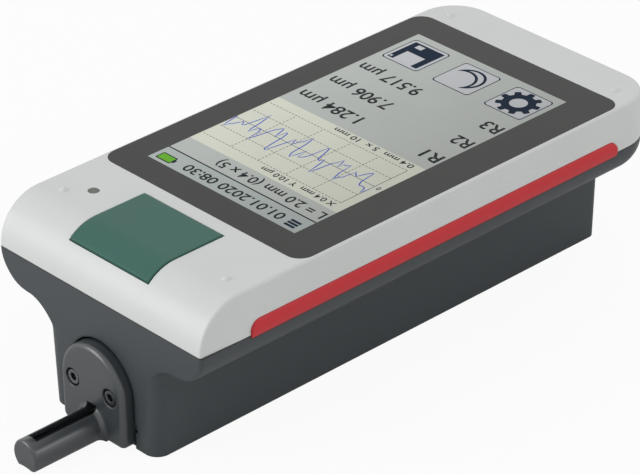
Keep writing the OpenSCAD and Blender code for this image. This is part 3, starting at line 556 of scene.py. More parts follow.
def lit_print(name, tone, layout):
    """What the display shows: light that fades towards the picture's left edge, with a fine dot raster."""
    finish = Finish(name)
    along = (layout.left - finish.axis("X")) / layout.width
    cloud = finish.noise(GLOW_CLOUD)
    dots = finish.noise(DOT, detail=0.0)
    bright = finish.varied(along, (cloud, 0.3), (dots, 0.06))
    return finish.surface({
        "Base Color": finish.mottled(dots, tone, dark=0.02, light=0.04),
        "Emission Color": finish.mottled(bright, tone, dark=layout.fade, light=1.0),
        "Emission Strength": 1.0,
        "Roughness": finish.varied(0.3, (cloud, 0.1)),
        "Specular IOR Level": 0.03,
    })


def merged_copy(node):
    """A node's mesh with its loose triangles joined and its flat faces made whole."""
    mesh = bmesh.new()
    mesh.from_mesh(frame["nodes"][node].data)
    bmesh.ops.remove_doubles(mesh, verts=mesh.verts, dist=WELD)
    bmesh.ops.dissolve_limit(mesh, angle_limit=FLAT, verts=mesh.verts, edges=mesh.edges)
    return mesh


def plain_object(name, mesh):
    """An object at the origin from a bmesh, which is freed."""
    data = bpy.data.meshes.new(name)
    mesh.to_mesh(data)
    mesh.free()
    made = bpy.data.objects.new(name, data)
    bpy.context.scene.collection.objects.link(made)
    return made


def settle(piece):
    """Turns a piece with modifiers into a plain mesh."""
    evaluated = piece.evaluated_get(bpy.context.evaluated_depsgraph_get())
    data = bpy.data.meshes.new_from_object(evaluated)
    piece.modifiers.clear()
    piece.data = data
    return piece


def bevel(piece, width, segments, angle=SHARP, marked=False):
    """Rounds the edges that turn by more than an angle, or that are marked, and settles the piece."""
    step = piece.modifiers.new("edges", "BEVEL")
    step.width = width
    step.segments = segments
    step.limit_method = "WEIGHT" if marked else "ANGLE"
    step.angle_limit = angle
    step.use_clamp_overlap = not marked
    return settle(piece)


def smooth(piece, angle=SHARP):
    """Smooth shading that keeps sharp edges and flat faces."""
    piece.data.shade_smooth()
    piece.data.set_sharp_from_angle(angle=angle)
    step = piece.modifiers.new("flat faces", "WEIGHTED_NORMAL")
    step.keep_sharp = True
    return settle(piece)


def dress(piece, body, material, nodes=()):
    """Gives a finished piece its material and its body, and hides the nodes it stands for."""
    piece.data.materials.clear()
    piece.data.materials.append(material)
    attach(piece, body)
    if nodes:
        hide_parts(*nodes)
    return piece


def body_of(node):
    return frame["nodes"][node]["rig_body"]


def cut_box(piece, low, high):
    """Takes a box out of a piece."""
    mesh = bmesh.new()
    middle = (Vector(low) + Vector(high)) / 2
    size = (Vector(high) - Vector(low)).to_4d()
    bmesh.ops.create_cube(mesh, size=1.0, matrix=Matrix.Translation(middle) @ Matrix.Diagonal(size))
    cutter = plain_object("cutter", mesh)
    step = piece.modifiers.new("opening", "BOOLEAN")
    step.solver = "EXACT"
    step.object = cutter
    settle(piece)
    bpy.data.objects.remove(cutter)


def soft_copy(node, name, material, width, angle=SHARP, shape=None, marked=0.0, cut=None):
    """A node's shape with its edges rounded, which stands for the node."""
    mesh = merged_copy(node)
    if shape:
        shape(mesh)
    piece = plain_object(name, mesh)
    if cut:
        cut_box(piece, *cut)
    if marked:
        bevel(piece, marked, segments=5, marked=True)
    bevel(piece, width, segments=3, angle=angle)
    return dress(smooth(piece), body_of(node), material, [node])


def paint(node, material):
    """Gives a carried-over node its finish."""
    data = frame["nodes"][node].data
    data.materials.clear()
    data.materials.append(material)


class Sheet:
    """Flat shapes on the display, placed by right and down from the picture's top left corner."""

    def __init__(self, layout, level):
        self.layout = layout
        self.z = TOP_Z + level * layout.layer
        self.mesh = bmesh.new()

    def spot(self, right, down):
        return Vector((self.layout.left - right, FRONT_Y + self.layout.top + down, self.z))

    def outline(self, points):
        face = self.mesh.faces.new([self.mesh.verts.new(self.spot(*point)) for point in points])
        face.normal_update()
        if face.normal.z < 0:
            face.normal_flip()

    def box(self, right, down, width, height, radius=0.0, steps=6):
        """A rectangle, with round corners where a radius is given."""
        if not radius:
            far = (right + width, down + height)
            self.outline([(right, down), (far[0], down), far, (right, far[1])])
            return
        points = []
        for turn in range(4):
            x = right + (width - radius if turn in (0, 3) else radius)
            y = down + (height - radius if turn in (0, 1) else radius)
            for step in range(steps + 1):
                angle = (turn + step / steps) * math.pi / 2
                points.append((x + radius * math.cos(angle), y + radius * math.sin(angle)))
        self.outline(points)

    def band(self, outer, inner):
        """A closed strip between two outlines with as many points."""
        for i in range(len(outer)):
            self.outline([outer[i - 1], outer[i], inner[i], inner[i - 1]])

    def words(self, text, start, end, base, tall):
        """Figures or letters fitted between two ends on a base line."""
        curve = bpy.data.curves.new("words", "FONT")
        curve.body = text
        curve.offset = LETTER_WEIGHT
        made = bpy.data.objects.new("words", curve)
        bpy.context.scene.collection.objects.link(made)
        graph = bpy.context.evaluated_depsgraph_get()
        data = bpy.data.meshes.new_from_object(made.evaluated_get(graph))
        spread = [vertex.co.x for vertex in data.vertices]
        wide = (end - start) / (max(spread) - min(spread))
        high = tall / FIGURE_SHARE
        data.transform(Matrix.Translation((-min(spread), 0, 0)))
        data.transform(Matrix.Diagonal((-wide, -high, 1, 1)))
        data.transform(Matrix.Translation(self.spot(start, base)))
        self.mesh.from_mesh(data)
        bpy.data.objects.remove(made)
        bpy.data.curves.remove(curve)
        bpy.data.meshes.remove(data)

    def piece(self, name, material):
        """The shapes as one thin solid on the glass, without the faces where an outline folds over."""
        bmesh.ops.remove_doubles(self.mesh, verts=self.mesh.verts, dist=PRINT_WELD)
        folds = {
            min(edge.link_faces, key=lambda face: face.calc_area())
            for edge in self.mesh.edges if len(edge.link_faces) > 2
        }
        bmesh.ops.delete(self.mesh, geom=list(folds), context="FACES")
        made = plain_object(name, self.mesh)
        step = made.modifiers.new("thickness", "SOLIDIFY")
        step.thickness = self.layout.layer
        step.offset = 1.0
        return dress(settle(made), "housing", material)


class TESTER_OT_housing(bpy.types.Operator):
    """Lower housing with soft edges and a moulded grain"""

    bl_idname = "tester.housing"
    bl_label = "Lower Housing"

    def execute(self, context):
        sizes = context.scene.tester_sizes
        low = SEAM_Z - sizes.seam

        def mark_front(mesh):
            weight = mesh.edges.layers.float.new("bevel_weight_edge")
            for edge in mesh.edges:
                ends = [vertex.co for vertex in edge.verts]
                upright = abs(ends[0].z - ends[1].z) > 2 * LEVEL
                if upright and all(end.y < FRONT_Y + LEVEL for end in ends):
                    out = min(abs(end.x) for end in ends)
                    share = (out - sizes.front_fade) / (sizes.front_full - sizes.front_fade)
                    edge[weight] = max(0.0, min(1.0, share))

        base = context.scene.tester_colours.housing
        # Painted shade: the housing's band just under the cover is darkened, for the shade in the gap
        # between them
        plastic = moulded("housing plastic", base, rough=0.46, grain=sizes.grain, depth=0.012 * MM,
                          soft=sizes.housing_soft, gap=lambda z: z.above(low))
        soft_copy("lower_housing", "housing_shell", plastic, sizes.housing_edge,
                  shape=mark_front, marked=sizes.front_edge)
        return {"FINISHED"}


class TESTER_OT_cover(bpy.types.Operator):
    """Upper cover with its locating bumps"""

    bl_idname = "tester.cover"
    bl_label = "Upper Cover"

    def execute(self, context):
        sizes = context.scene.tester_sizes
        base = context.scene.tester_colours.cover
        plastic = moulded("cover plastic", base, rough=0.42, grain=sizes.grain, depth=0.008 * MM,
                          soft=sizes.cover_edge)
        soft_copy("top_cover", "cover_shell", plastic, sizes.cover_edge, STEEP)
        return {"FINISHED"}


class TESTER_OT_inlays(bpy.types.Operator):
    """Red inlays along both sides"""

    bl_idname = "tester.inlays"
    bl_label = "Side Inlays"

    def execute(self, context):
        sizes = context.scene.tester_sizes
        base = context.scene.tester_colours.inlay
        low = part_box("trim_right")[0].z + sizes.seam
        # Painted shade: the band along each inlay's lower edge is darkened, for the shade in the gap below
        # it
        plastic = moulded("inlay plastic", base, rough=0.38, grain=sizes.grain, depth=0.005 * MM, sheen=0.25,
                          soft=sizes.trim_soft, gap=lambda z: 1 - z.above(low))
        for side in ("right", "left"):
            soft_copy(f"trim_{side}", f"inlay_{side}", plastic, sizes.trim_edge)
        return {"FINISHED"}


class TESTER_OT_key(bpy.types.Operator):
    """Start key, its plunger and switch, and the status light"""

    bl_idname = "tester.key"
    bl_label = "Start Key"

    def execute(self, context):
        sizes = context.scene.tester_sizes
        colours = context.scene.tester_colours
        inner = context.scene.tester_inside
        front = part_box("start_key")[0].y + LEVEL

        def soft_corners(mesh):
            upright = [
                edge for edge in mesh.edges
                if all(vertex.co.y < front for vertex in edge.verts)
                and abs(edge.verts[0].co.x - edge.verts[1].co.x) < LEVEL
                and edge.calc_face_angle(0.0) > SHARP
            ]
            corner = {"offset": sizes.key_corner, "segments": 6, "profile": 0.5}
            bmesh.ops.bevel(mesh, geom=upright, affect="EDGES", **corner)

        plastic = moulded("key plastic", colours.key, rough=0.4, grain=sizes.grain, depth=0.006 * MM,
                          sheen=0.16, soft=sizes.key_soft)
        soft_copy("start_key", "key_cap", plastic, sizes.key_edge, shape=soft_corners)
        lens = moulded("light lens", colours.lens, rough=0.2, grain=1.2 * MM, depth=0.01 * MM)
        soft_copy("status_light", "light_lens", lens, sizes.key_edge)
        plunger = moulded("plunger plastic", inner.plunger, rough=0.5, grain=sizes.grain, depth=0.006 * MM)
        paint("switch_plunger", plunger)
        paint("key_switch", turned_metal("switch can", inner.can, rough=0.35, stretch=LINES_Z))
        return {"FINISHED"}


class TESTER_OT_glass(bpy.types.Operator):
    """Display glass and the panel behind it"""

    bl_idname = "tester.glass"
    bl_label = "Display Glass"

    def execute(self, context):
        sizes = context.scene.tester_sizes
        base = context.scene.tester_colours.glass
        glass = printed_glass("printed glass", base)
        soft_copy("display_glass", "glass_sheet", glass, sizes.glass_edge)
        tone = context.scene.tester_inside.panel
        paint("display_panel", moulded("panel back", tone, rough=0.35, grain=sizes.grain, depth=0.004 * MM))
        return {"FINISHED"}


class TESTER_OT_picture(bpy.types.Operator):
    """Backgrounds that the display shows: page, status bar and graph"""

    bl_idname = "tester.picture"
    bl_label = "Display Picture"

    def execute(self, context):
        layout = context.scene.tester_layout
        tones = context.scene.tester_screen
        graph_tall = layout.graph_bottom - layout.graph_top
        for name, light, tone, level, top, tall in (
            ("page", "page light", tones.paper, 0, 0, layout.height),
            ("status_bar", "bar light", tones.bar, 1, 0, layout.bar),
            ("graph_page", "graph light", tones.graph, 1, layout.graph_top, graph_tall),
        ):
            sheet = Sheet(layout, level)
            sheet.box(0, top, layout.width, tall)
            sheet.piece(name, lit_print(light, tone, layout))
        return {"FINISHED"}


class TESTER_OT_graph(bpy.types.Operator):
    """Grid and measured trace of the graph"""

    bl_idname = "tester.graph"
    bl_label = "Graph"

    # Steps of the grid each way, and the level line that is drawn through
    COLUMNS = 4
    ROWS = 4
    AXIS_ROW = 2
    # Points of the trace, strength, speed and start of its waves, and strength and speed of its scatter
    POINTS = 96
    WAVES = ((1.0, 41, 0), (0.7, 97, 1))
    SCATTER = (0.4, 2.4)

    def execute(self, context):
        layout = context.scene.tester_layout
        tones = context.scene.tester_screen
        grid_ink = lit_print("grid light", tones.grid, layout)
        dashes = Recipe("grid dashes", vectors=("Dash",))
        block = dashes.node("GeometryNodeMeshCube", None, {"Size": dashes.given("Dash")})
        inputs = {"Points": dashes.given("Geometry"), "Instance": block}
        dashes.close(dashes.node("GeometryNodeInstanceOnPoints", None, inputs), grid_ink)
        right = layout.width - layout.line
        low = layout.grid_top + self.ROWS * layout.grid_step
        upright = self.dots(layout, [
            (layout.grid_left + column * layout.grid_pitch, down)
            for column in range(1, self.COLUMNS + 1)
            for down in self.steps(layout.grid_top, low, layout.dash_pitch)
        ])
        level = self.dots(layout, [
            (along, layout.grid_top + row * layout.grid_step)
            for row in range(self.ROWS + 1) if row != self.AXIS_ROW
            for along in self.steps(layout.grid_left, right, layout.dash_pitch)
        ])
        for name, points, wide, tall in (
            ("grid_uprights", upright, layout.line, layout.dash),
            ("grid_levels", level, layout.dash, layout.line),
        ):
            made = dashes.make(name, points, {"Dash": (wide, tall, layout.layer)})
            dress(made, "housing", grid_ink)
        lines = Sheet(layout, level=2)
        lines.box(layout.grid_left, layout.grid_top, layout.line, low - layout.grid_top)
        axis = layout.grid_top + self.AXIS_ROW * layout.grid_step
        lines.box(layout.grid_left, axis, right - layout.grid_left, layout.line)
        lines.piece("grid_axes", grid_ink)
        self.trace(layout, tones, axis, right)
        return {"FINISHED"}

    def steps(self, start, end, pitch):
        return [start + pitch * (i + 0.5) for i in range(int((end - start) / pitch))]

    def dots(self, layout, places):
        """Loose points, half a layer over the graph."""
        sheet = Sheet(layout, level=2.5)
        for place in places:
            sheet.mesh.verts.new(sheet.spot(*place))
        return sheet.mesh

    def trace(self, layout, tones, axis, right):
        """The trace: a jagged line of a few waves and a repeatable scatter."""
        ink = lit_print("trace light", tones.trace, layout)
        ribbon = Recipe("trace ribbon", floats=("Width", "Flatness"))
        path = ribbon.node("GeometryNodeMeshToCurve", None, {"Mesh": ribbon.given("Geometry")})
        round_line = ribbon.node("GeometryNodeCurvePrimitiveCircle", {"mode": "RADIUS"},
                                 {"Resolution": 8, "Radius": ribbon.given("Width") / 2})
        inputs = {"Curve": path, "Profile Curve": round_line, "Fill Caps": True}
        swept = ribbon.node("GeometryNodeCurveToMesh", None, inputs)
        flat = ribbon.vector(1.0, 1.0, ribbon.given("Flatness"))
        ribbon.close(ribbon.node("GeometryNodeTransform", None, {"Geometry": swept, "Scale": flat}), ink)
        sheet = Sheet(layout, level=3.5)
        height = sheet.z
        # The ribbon is flattened towards zero height, and lifted afterwards
        sheet.z = 0.0
        rough, shake = self.SCATTER
        last = None
        for i in range(self.POINTS + 1):
            share = i / self.POINTS
            wave = sum(strength * math.sin(share * speed + start) for strength, speed, start in self.WAVES)
            down = axis - (wave + rough * math.sin(i * i * shake)) * layout.trace_tall
            along = layout.grid_left + share * (right - layout.grid_left)
            vertex = sheet.mesh.verts.new(sheet.spot(along, down))
            if last:
                sheet.mesh.edges.new((last, vertex))
            last = vertex
        flatness = layout.layer / layout.trace
        made = ribbon.make("trace", sheet.mesh, {"Width": layout.trace, "Flatness": flatness})
        made.data.transform(Matrix.Translation((0, 0, height)))
        dress(smooth(made), "housing", ink)


class TESTER_OT_lettering(bpy.types.Operator):
    """Figures, rules and small symbols of the display"""

    bl_idname = "tester.lettering"
    bl_label = "Display Lettering"

    # Text, start, end, base line and height, in millimetres
    LINES = (
        ("01.01.2020 08:30", 7.6, 44.1, 4.75, 3.2),
        ("L = 2.0 mm (0.4 x 5)", 0.8, 40.1, 12.2, 3.2),
        ("X 0.4 mm  Y 10.0 µm", 3.2, 30.0, 17.4, 1.9),
        ("0.4 mm  5 x  10 mm", 3.2, 32.0, 44.8, 1.9),
        ("0", 0.9, 1.9, 30.8, 1.5),
    )
    VALUES = ("1.284 µm", "7.906 µm", "9.517 µm")
    # Right, down, width, height and, on one, rounding of the boxes of the symbols, in millimetres
    MENU_BARS = tuple((1.9, 1.2 + 1.2 * row, 3.6, 0.85) for row in range(3))
    CHARGE_SHELL = ((48.1, 1.1, 5.4, 3.3, 0.4), (47.5, 2.0, 0.6, 1.5))
    CHARGE_FILL = ((48.5, 1.5, 4.6, 2.5),)

    def execute(self, context):
        layout = context.scene.tester_layout
        tones = context.scene.tester_screen
        ink = lit_print("ink", tones.ink, layout)
        navy = lit_print("symbol ink", tones.navy, layout)
        words = Sheet(layout, level=2)
        words.box(0, layout.bar, layout.width, layout.rule)
        for line, *spots in self.LINES:
            words.words(line, *(spot * MM for spot in spots))
        for row, value in enumerate(self.VALUES):
            base = layout.row_first + row * layout.row_step + layout.row_base
            words.words(f"R{row + 1}", layout.name_start, layout.name_end, base, layout.row_tall)
            words.words(value, layout.value_start, layout.value_end, base, layout.row_tall)
        words.piece("display_words", ink)
        charge = lit_print("charge light", tones.charge, layout)
        for name, tone, level, boxes in (
            ("menu_bars", navy, 2, self.MENU_BARS),
            ("charge_shell", ink, 2, self.CHARGE_SHELL),
            ("charge_fill", charge, 3, self.CHARGE_FILL),
        ):
            sheet = Sheet(layout, level)
            for box in boxes:
                sheet.box(*(part * MM for part in box))
            sheet.piece(name, tone)
        return {"FINISHED"}


class TESTER_OT_icons(bpy.types.Operator):
    """Three icons at the foot of the display"""

    bl_idname = "tester.icons"
    bl_label = "Icons"

    def execute(self, context):
        layout = context.scene.tester_layout
        tones = context.scene.tester_screen
        navy = lit_print("icon ink", tones.navy, layout)
        face = lit_print("icon light", tones.icon, layout)
        middles = [layout.icon_first + step * layout.icon_step + layout.icon / 2 for step in range(3)]
        down = layout.icon_top + layout.icon / 2
        edges = Sheet(layout, level=2)
        faces = Sheet(layout, level=3)
        for middle in middles:
            for sheet, side in ((edges, layout.icon), (faces, layout.icon - 2 * layout.icon_line)):
                sheet.box(middle - side / 2, down - side / 2, side, side, layout.icon_corner)
        edges.piece("icon_edges", navy)
        faces.piece("icon_faces", face)
        symbols = Sheet(layout, level=4)
        clear = Sheet(layout, level=5)
        self.gear(symbols, middles[0], down, layout.icon)
        self.crescent(symbols, clear, middles[1], down, layout.icon)
        self.disk(symbols, clear, middles[2], down, layout.icon)
        symbols.piece("icon_symbols", navy)
        clear.piece("icon_cutouts", face)
        return {"FINISHED"}

    def arc(self, x, y, radius, start, end, count):
        angles = [start + (end - start) * i / count for i in range(count + 1)]
        return [(x + radius * math.cos(angle), y + radius * math.sin(angle)) for angle in angles]

    def gear(self, sheet, x, y, side):
        """A wheel with nine teeth and a round hole."""
        teeth = 9
        steepness = 4
        steps = 20 * teeth
        pitch_round = side * 0.405
        rise = side * 0.055
        hole = side * 0.185
        outer = []
        for i in range(steps):
            angle = math.tau * i / steps
            tooth = max(-1.0, min(1.0, steepness * math.cos(teeth * (angle - math.pi / 4))))
            radius = pitch_round + rise * tooth
            outer.append((x + radius * math.cos(angle), y + radius * math.sin(angle)))
        sheet.band(outer, self.arc(x, y, hole, 0, math.tau, steps)[:steps])

    def crescent(self, sheet, clear, x, y, side):
        """A crescent open towards the upper right, drawn as a thick outline."""
        turn = math.radians(-45)
        steps = 40
        outside = side * 0.4
        inside = side * 0.355
        shift = side * 0.19
        line = side * 0.06
        for layer, inset in ((sheet, 0.0), (clear, line)):
            wide = outside - inset
            narrow = inside + inset
            chord = (wide ** 2 - narrow ** 2 + shift ** 2) / (2 * shift)
            horn = math.acos(chord / wide)
            hollow = math.acos((chord - shift) / narrow)
            back = (x + shift * math.cos(turn), y + shift * math.sin(turn))
            outer = self.arc(x, y, wide, turn + horn, turn + math.tau - horn, steps)
            inner = self.arc(*back, narrow, turn + math.tau - hollow, turn + hollow, steps)
            layer.outline(outer + inner[1:-1])

    def disk(self, sheet, clear, x, y, side):
        """A disk with its label at the top, its shutter at the foot and one corner hole."""
        # Right, down, width and height, as shares of the icon's side
        label = (-0.25, -0.41, 0.5, 0.42)
        shutter = (0.08, 0.21, 0.18, 0.14)
        hole = (0.33, -0.37, 0.06, 0.06)
        half = side * 0.41
        sheet.box(x - half, y - half, 2 * half, 2 * half)
        for right, down, wide, tall in (label, shutter, hole):
            clear.box(x + side * right, y + side * down, side * wide, side * tall)


class TESTER_OT_guard(bpy.types.Operator):
    """Pickup guard with its plate and slotted tube"""

    bl_idname = "tester.guard"
    bl_label = "Pickup Guard"

    def execute(self, context):
        sizes = context.scene.tester_sizes
        base = context.scene.tester_colours.guard
        finish = moulded("guard finish", base, rough=0.3, grain=sizes.grain, depth=0.002 * MM, sheen=0.9,
                         soft=sizes.guard_soft)
        half = sizes.slot_wide / 2
        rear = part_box("pickup_guard")[1].y + sizes.slot_past
        slot = ((-half, FRONT_Y - sizes.slot_reach, sizes.slot_low), (half, rear, sizes.slot_top))
        soft_copy("pickup_guard", "guard_shell", finish, sizes.guard_edge, cut=slot)
        return {"FINISHED"}


class TESTER_OT_fasteners(bpy.types.Operator):
    """Socket-head screws of the guard, the case and the board"""

    bl_idname = "tester.fasteners"
    bl_label = "Fasteners"

    def execute(self, context):
        sizes = context.scene.tester_fasteners
        edge = context.scene.tester_sizes.metal_edge
        inner = context.scene.tester_inside
        dark = turned_metal("screw steel", inner.screw, rough=0.34, stretch=RINGS_Y)
        bright = turned_metal("board screw steel", inner.turned, rough=0.34, stretch=RINGS_Y)
        recipe = self.recipe(dark)
        big = (sizes.shank, sizes.hexagon, sizes.hexagon_deep)
        small = (sizes.board_shank, sizes.board_hexagon, sizes.board_hexagon_deep)
        for node, material, slot, head, tall, rest, way in (
            ("guard_screws", dark, "dark_steel", sizes.guard_head, sizes.guard_head_tall, big, "front"),
            ("case_screws", dark, "dark_steel", sizes.case_head, sizes.case_head_tall, big, "down"),
            ("board_screws", bright, "steel", sizes.board_head, sizes.board_head_tall, small, "up"),
        ):
            points, turn, reach = self.seats(node, head, way)
            shank, hexagon, deep = rest
            made = recipe.make(node + "_turned", points, {
                "Head": head - 2 * sizes.head_play, "Head height": tall, "Shank": shank, "Reach": reach,
                "Hexagon": hexagon, "Hexagon depth": deep, "Turn": turn,
            })
            made = smooth(bevel(made, edge, segments=2))
            dress(made, body_of(node), material, [node])
        return {"FINISHED"}

    def recipe(self, material):
        """A screw with its head's face at each point, looking along the local z axis."""
        labels = ("Head", "Head height", "Shank", "Reach", "Hexagon", "Hexagon depth")
        recipe = Recipe("socket screws", floats=labels, vectors=("Turn",))
        head, tall, shank, reach, hexagon, deep = (recipe.given(label) for label in labels)
        top = recipe.cylinder(head, 0 - tall, tall, sides=48)
        stem = recipe.cylinder(shank, 0 - reach, reach - tall / 2, sides=32)
        whole = recipe.combined("UNION", {"Mesh 2": [top, stem]})
        cut = recipe.cylinder(hexagon, 0 - deep, deep * 2, sides=6)
        screw = recipe.combined("DIFFERENCE", {"Mesh 1": whole, "Mesh 2": cut})
        inputs = {"Points": recipe.given("Geometry"), "Instance": screw, "Rotation": recipe.given("Turn")}
        recipe.close(recipe.node("GeometryNodeInstanceOnPoints", None, inputs), material)
        return recipe

    def seats(self, node, head, way):
        """Points on the heads' faces, the turn of the screws and their whole length."""
        low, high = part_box(node)
        side = high.x - head / 2
        points = bmesh.new()
        if way == "front":
            for x in (side, -side):
                points.verts.new((x, low.y, (low.z + high.z) / 2))
            return points, (math.pi / 2, 0, 0), high.y - low.y
        face = low.z if way == "down" else high.z
        for x in (side, -side):
            for y in (low.y + head / 2, high.y - head / 2):
                points.verts.new((x, y, face))
        turn = (math.pi, 0, 0) if way == "down" else (0, 0, 0)
        return points, turn, high.z - low.z


class TESTER_OT_thread(bpy.types.Operator):
    """Lead screw with its rolled thread"""

    bl_idname = "tester.thread"
    bl_label = "Lead Screw"

    def execute(self, context):
        sizes = context.scene.tester_fasteners
        low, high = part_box("lead_screw")
        tone = context.scene.tester_inside.turned
        steel = turned_metal("rolled steel", tone, rough=0.3, stretch=RINGS_Y)
        starts = 2
        recipe = Recipe("rolled thread", floats=("Diameter", "Reach", "Lead", "Depth"))
        bar = recipe.cylinder(recipe.given("Diameter"), 0.0, recipe.given("Reach"), sides=32, rings=480)
        place = recipe.node("GeometryNodeInputPosition")
        x, y, z = (recipe.node("ShaderNodeSeparateXYZ", None, {"Vector": place}, axis) for axis in "XYZ")
        turn = x.math("ARCTAN2", y, x)
        phase = (z / recipe.given("Lead") * math.tau - turn) * starts
        crest = phase.math("COSINE", phase, 0.0) / 2 - 0.5
        grow = crest * recipe.given("Depth") / (recipe.given("Diameter") / 2) + 1
        inputs = {"Geometry": bar, "Position": recipe.vector(x * grow, y * grow, z)}
        recipe.close(recipe.node("GeometryNodeSetPosition", None, inputs), steel)
        made = recipe.make("lead_screw_thread", bmesh.new(), {
            "Diameter": high.z - low.z, "Reach": high.y - low.y,
            "Lead": sizes.lead, "Depth": sizes.thread_deep,
        })
        made.data.transform(Matrix.Rotation(-math.pi / 2, 4, "X"))
        made.data.transform(Matrix.Translation((0, low.y, (low.z + high.z) / 2)))
        dress(smooth(made, STEEP), body_of("lead_screw"), steel, ["lead_screw"])
        return {"FINISHED"}


class TESTER_OT_inside(bpy.types.Operator):
    """Finishes of the pieces inside: boards, battery, cassette, drive train and pickup"""

    bl_idname = "tester.inside"
    bl_label = "Inner Pieces"

    def execute(self, context):
        sizes = context.scene.tester_sizes
        tones = context.scene.tester_inside
        grained = {"grain": sizes.grain, "depth": 0.008 * MM}
        board = circuit("board mask", tones.board)
        black = moulded("black plastic", tones.black, rough=0.45, **grained)
        casing = moulded("cassette finish", tones.casing, rough=0.42, **grained)
        ground = turned_metal("ground steel", tones.ground, rough=0.3, stretch=LINES_Y)
        turned = turned_metal("turned steel", tones.turned, rough=0.34, stretch=RINGS_Y)
        dark = turned_metal("dark steel", tones.dark, rough=0.42, stretch=RINGS_Y)
        alloy = turned_metal("milled alloy", tones.alloy, rough=0.4, stretch=LINES_Y)
        brass = turned_metal("brass", tones.brass, rough=0.32, stretch=RINGS_Y)
        wrap = moulded("battery wrap", tones.wrap, rough=0.3, grain=2 * MM, depth=0.02 * MM)
        finishes = {
            board: ("main_board", "drive_board"),
            black: ("board_chips", "drive_socket", "drive_end_cap", "pickup_holder"),
            casing: ("drive_casing",),
            ground: ("charge_socket", "guide_rods", "pivot_pin", "stylus_arm", "skid"),
            turned: ("drive_motor",),
            dark: ("stylus_tip", "pickup_body"),
            alloy: ("front_block", "rear_block"),
            brass: ("gearbox", "carriage", "contact_pins"),
            wrap: ("battery",),
        }
        for material, nodes in finishes.items():
            for node in nodes:
                paint(node, material)
        return {"FINISHED"}


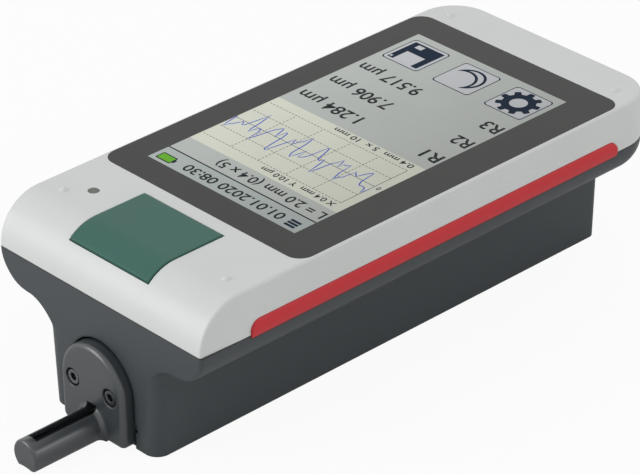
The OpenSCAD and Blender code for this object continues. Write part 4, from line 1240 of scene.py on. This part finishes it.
class TESTER_OT_stage(bpy.types.Operator):
    """Pale floor, even studio light and the camera"""

    bl_idname = "tester.stage"
    bl_label = "Stage"

    def execute(self, context):
        stage = context.scene.tester_stage
        self.floor(stage)
        self.sky(context.scene, stage)
        self.light("key light", stage.key_place, stage.key_size, stage.key_power, stage.target)
        self.light("side light", stage.side_place, stage.side_size, stage.side_power, stage.target)
        self.camera(context.scene, stage)
        context.scene.view_settings.view_transform = "Standard"
        return {"FINISHED"}

    def floor(self, stage):
        mesh = bmesh.new()
        below = Matrix.Translation((0, 0, -stage.floor_gap))
        bmesh.ops.create_grid(mesh, size=stage.floor_size / 2, matrix=below)
        floor = plain_object("floor", mesh)
        finish = Finish("pale floor")
        seen, mirrored = self.rays(finish)
        white = seen * stage.floor_white + mirrored * stage.floor_mirror
        glow = finish.node("ShaderNodeEmission", None, {"Color": WHITE, "Strength": 1.0})
        grey = rgba([stage.floor_grey] * 3)
        finish.surface({"Base Color": grey, "Roughness": 0.9, "Specular IOR Level": 0.0})
        lit = Wire(finish, finish.shader.outputs[0])
        mixed = finish.node("ShaderNodeMixShader", None, {0: white, 1: lit, 2: glow})
        finish.tree.links.new(mixed.socket, finish.tree.nodes["Material Output"].inputs["Surface"])
        floor.data.materials.append(finish.material)

    def rays(self, graph):
        """Masks of the rays from the camera, and of those from mirrors and glass."""
        seen, mirrored, passed = (
            graph.node("ShaderNodeLightPath", output=f"Is {kind} Ray")
            for kind in ("Camera", "Glossy", "Transmission")
        )
        return seen, mirrored.most(passed)

    def sky(self, scene, stage):
        world = bpy.data.worlds.new("studio")
        world.use_nodes = True
        scene.world = world
        graph = Graph(world.node_tree)
        seen, mirrored = self.rays(graph)
        back = world.node_tree.nodes["Background"]
        back.inputs["Color"].default_value = WHITE
        graph.feed(back.inputs["Strength"], seen.most(mirrored) * (1 - stage.sky) + stage.sky)

    def light(self, name, place, size, power, target):
        """A round light that looks at the target."""
        lamp = bpy.data.lights.new(name, "AREA")
        lamp.shape = "DISK"
        lamp.size = size
        lamp.energy = power
        made = bpy.data.objects.new(name, lamp)
        made.location = place
        aim = Vector(target) - Vector(place)
        made.rotation_euler = aim.to_track_quat("-Z", "Y").to_euler()
        bpy.context.scene.collection.objects.link(made)

    def camera(self, scene, stage):
        azimuth = stage.azimuth
        level = math.cos(stage.elevation)
        back = Vector((math.sin(azimuth) * level, -math.cos(azimuth) * level, math.sin(stage.elevation)))
        right = Vector((math.cos(azimuth), math.sin(azimuth), 0))
        up = back.cross(right)
        side = right * math.cos(stage.roll) + up * math.sin(stage.roll)
        over = up * math.cos(stage.roll) - right * math.sin(stage.roll)
        turn = Matrix((side, over, back)).transposed().to_4x4()
        made = bpy.data.objects.new("camera", bpy.data.cameras.new("camera"))
        made.data.lens = stage.lens
        made.data.clip_start = stage.near
        made.matrix_world = Matrix.Translation(Vector(stage.target) + back * stage.distance) @ turn
        scene.collection.objects.link(made)
        scene.camera = made


GROUPS = {
    "tester_sizes": ShellSizes,
    "tester_colours": ShellColours,
    "tester_inside": InnerColours,
    "tester_fasteners": FastenerSizes,
    "tester_layout": ScreenLayout,
    "tester_screen": ScreenColours,
    "tester_stage": StageSettings,
}
STEPS = (
    TESTER_OT_housing,
    TESTER_OT_cover,
    TESTER_OT_inlays,
    TESTER_OT_key,
    TESTER_OT_glass,
    TESTER_OT_picture,
    TESTER_OT_graph,
    TESTER_OT_lettering,
    TESTER_OT_icons,
    TESTER_OT_guard,
    TESTER_OT_fasteners,
    TESTER_OT_thread,
    TESTER_OT_inside,
    TESTER_OT_stage,
)


class TESTER_PT_panel(bpy.types.Panel):
    """Sidebar panel with every step and its settings"""

    bl_idname = "TESTER_PT_panel"
    bl_label = "Roughness Tester"
    bl_space_type = "VIEW_3D"
    bl_region_type = "UI"
    bl_category = "Tester"

    def draw(self, context):
        for step in STEPS:
            self.layout.operator(step.bl_idname)
        for name, group in GROUPS.items():
            box = self.layout.box()
            for field in group.__annotations__:
                box.prop(getattr(context.scene, name), field)


def register():
    for name, group in GROUPS.items():
        bpy.utils.register_class(group)
        setattr(bpy.types.Scene, name, PointerProperty(type=group))
    for made in (*STEPS, TESTER_PT_panel):
        bpy.utils.register_class(made)


def unregister():
    for made in (*STEPS, TESTER_PT_panel):
        bpy.utils.unregister_class(made)
    for name, group in GROUPS.items():
        delattr(bpy.types.Scene, name)
        bpy.utils.unregister_class(group)


def main():
    register()
    for step in STEPS:
        family, name = step.bl_idname.split(".")
        getattr(getattr(bpy.ops, family), name)()


if __name__ == "__main__":
    main()
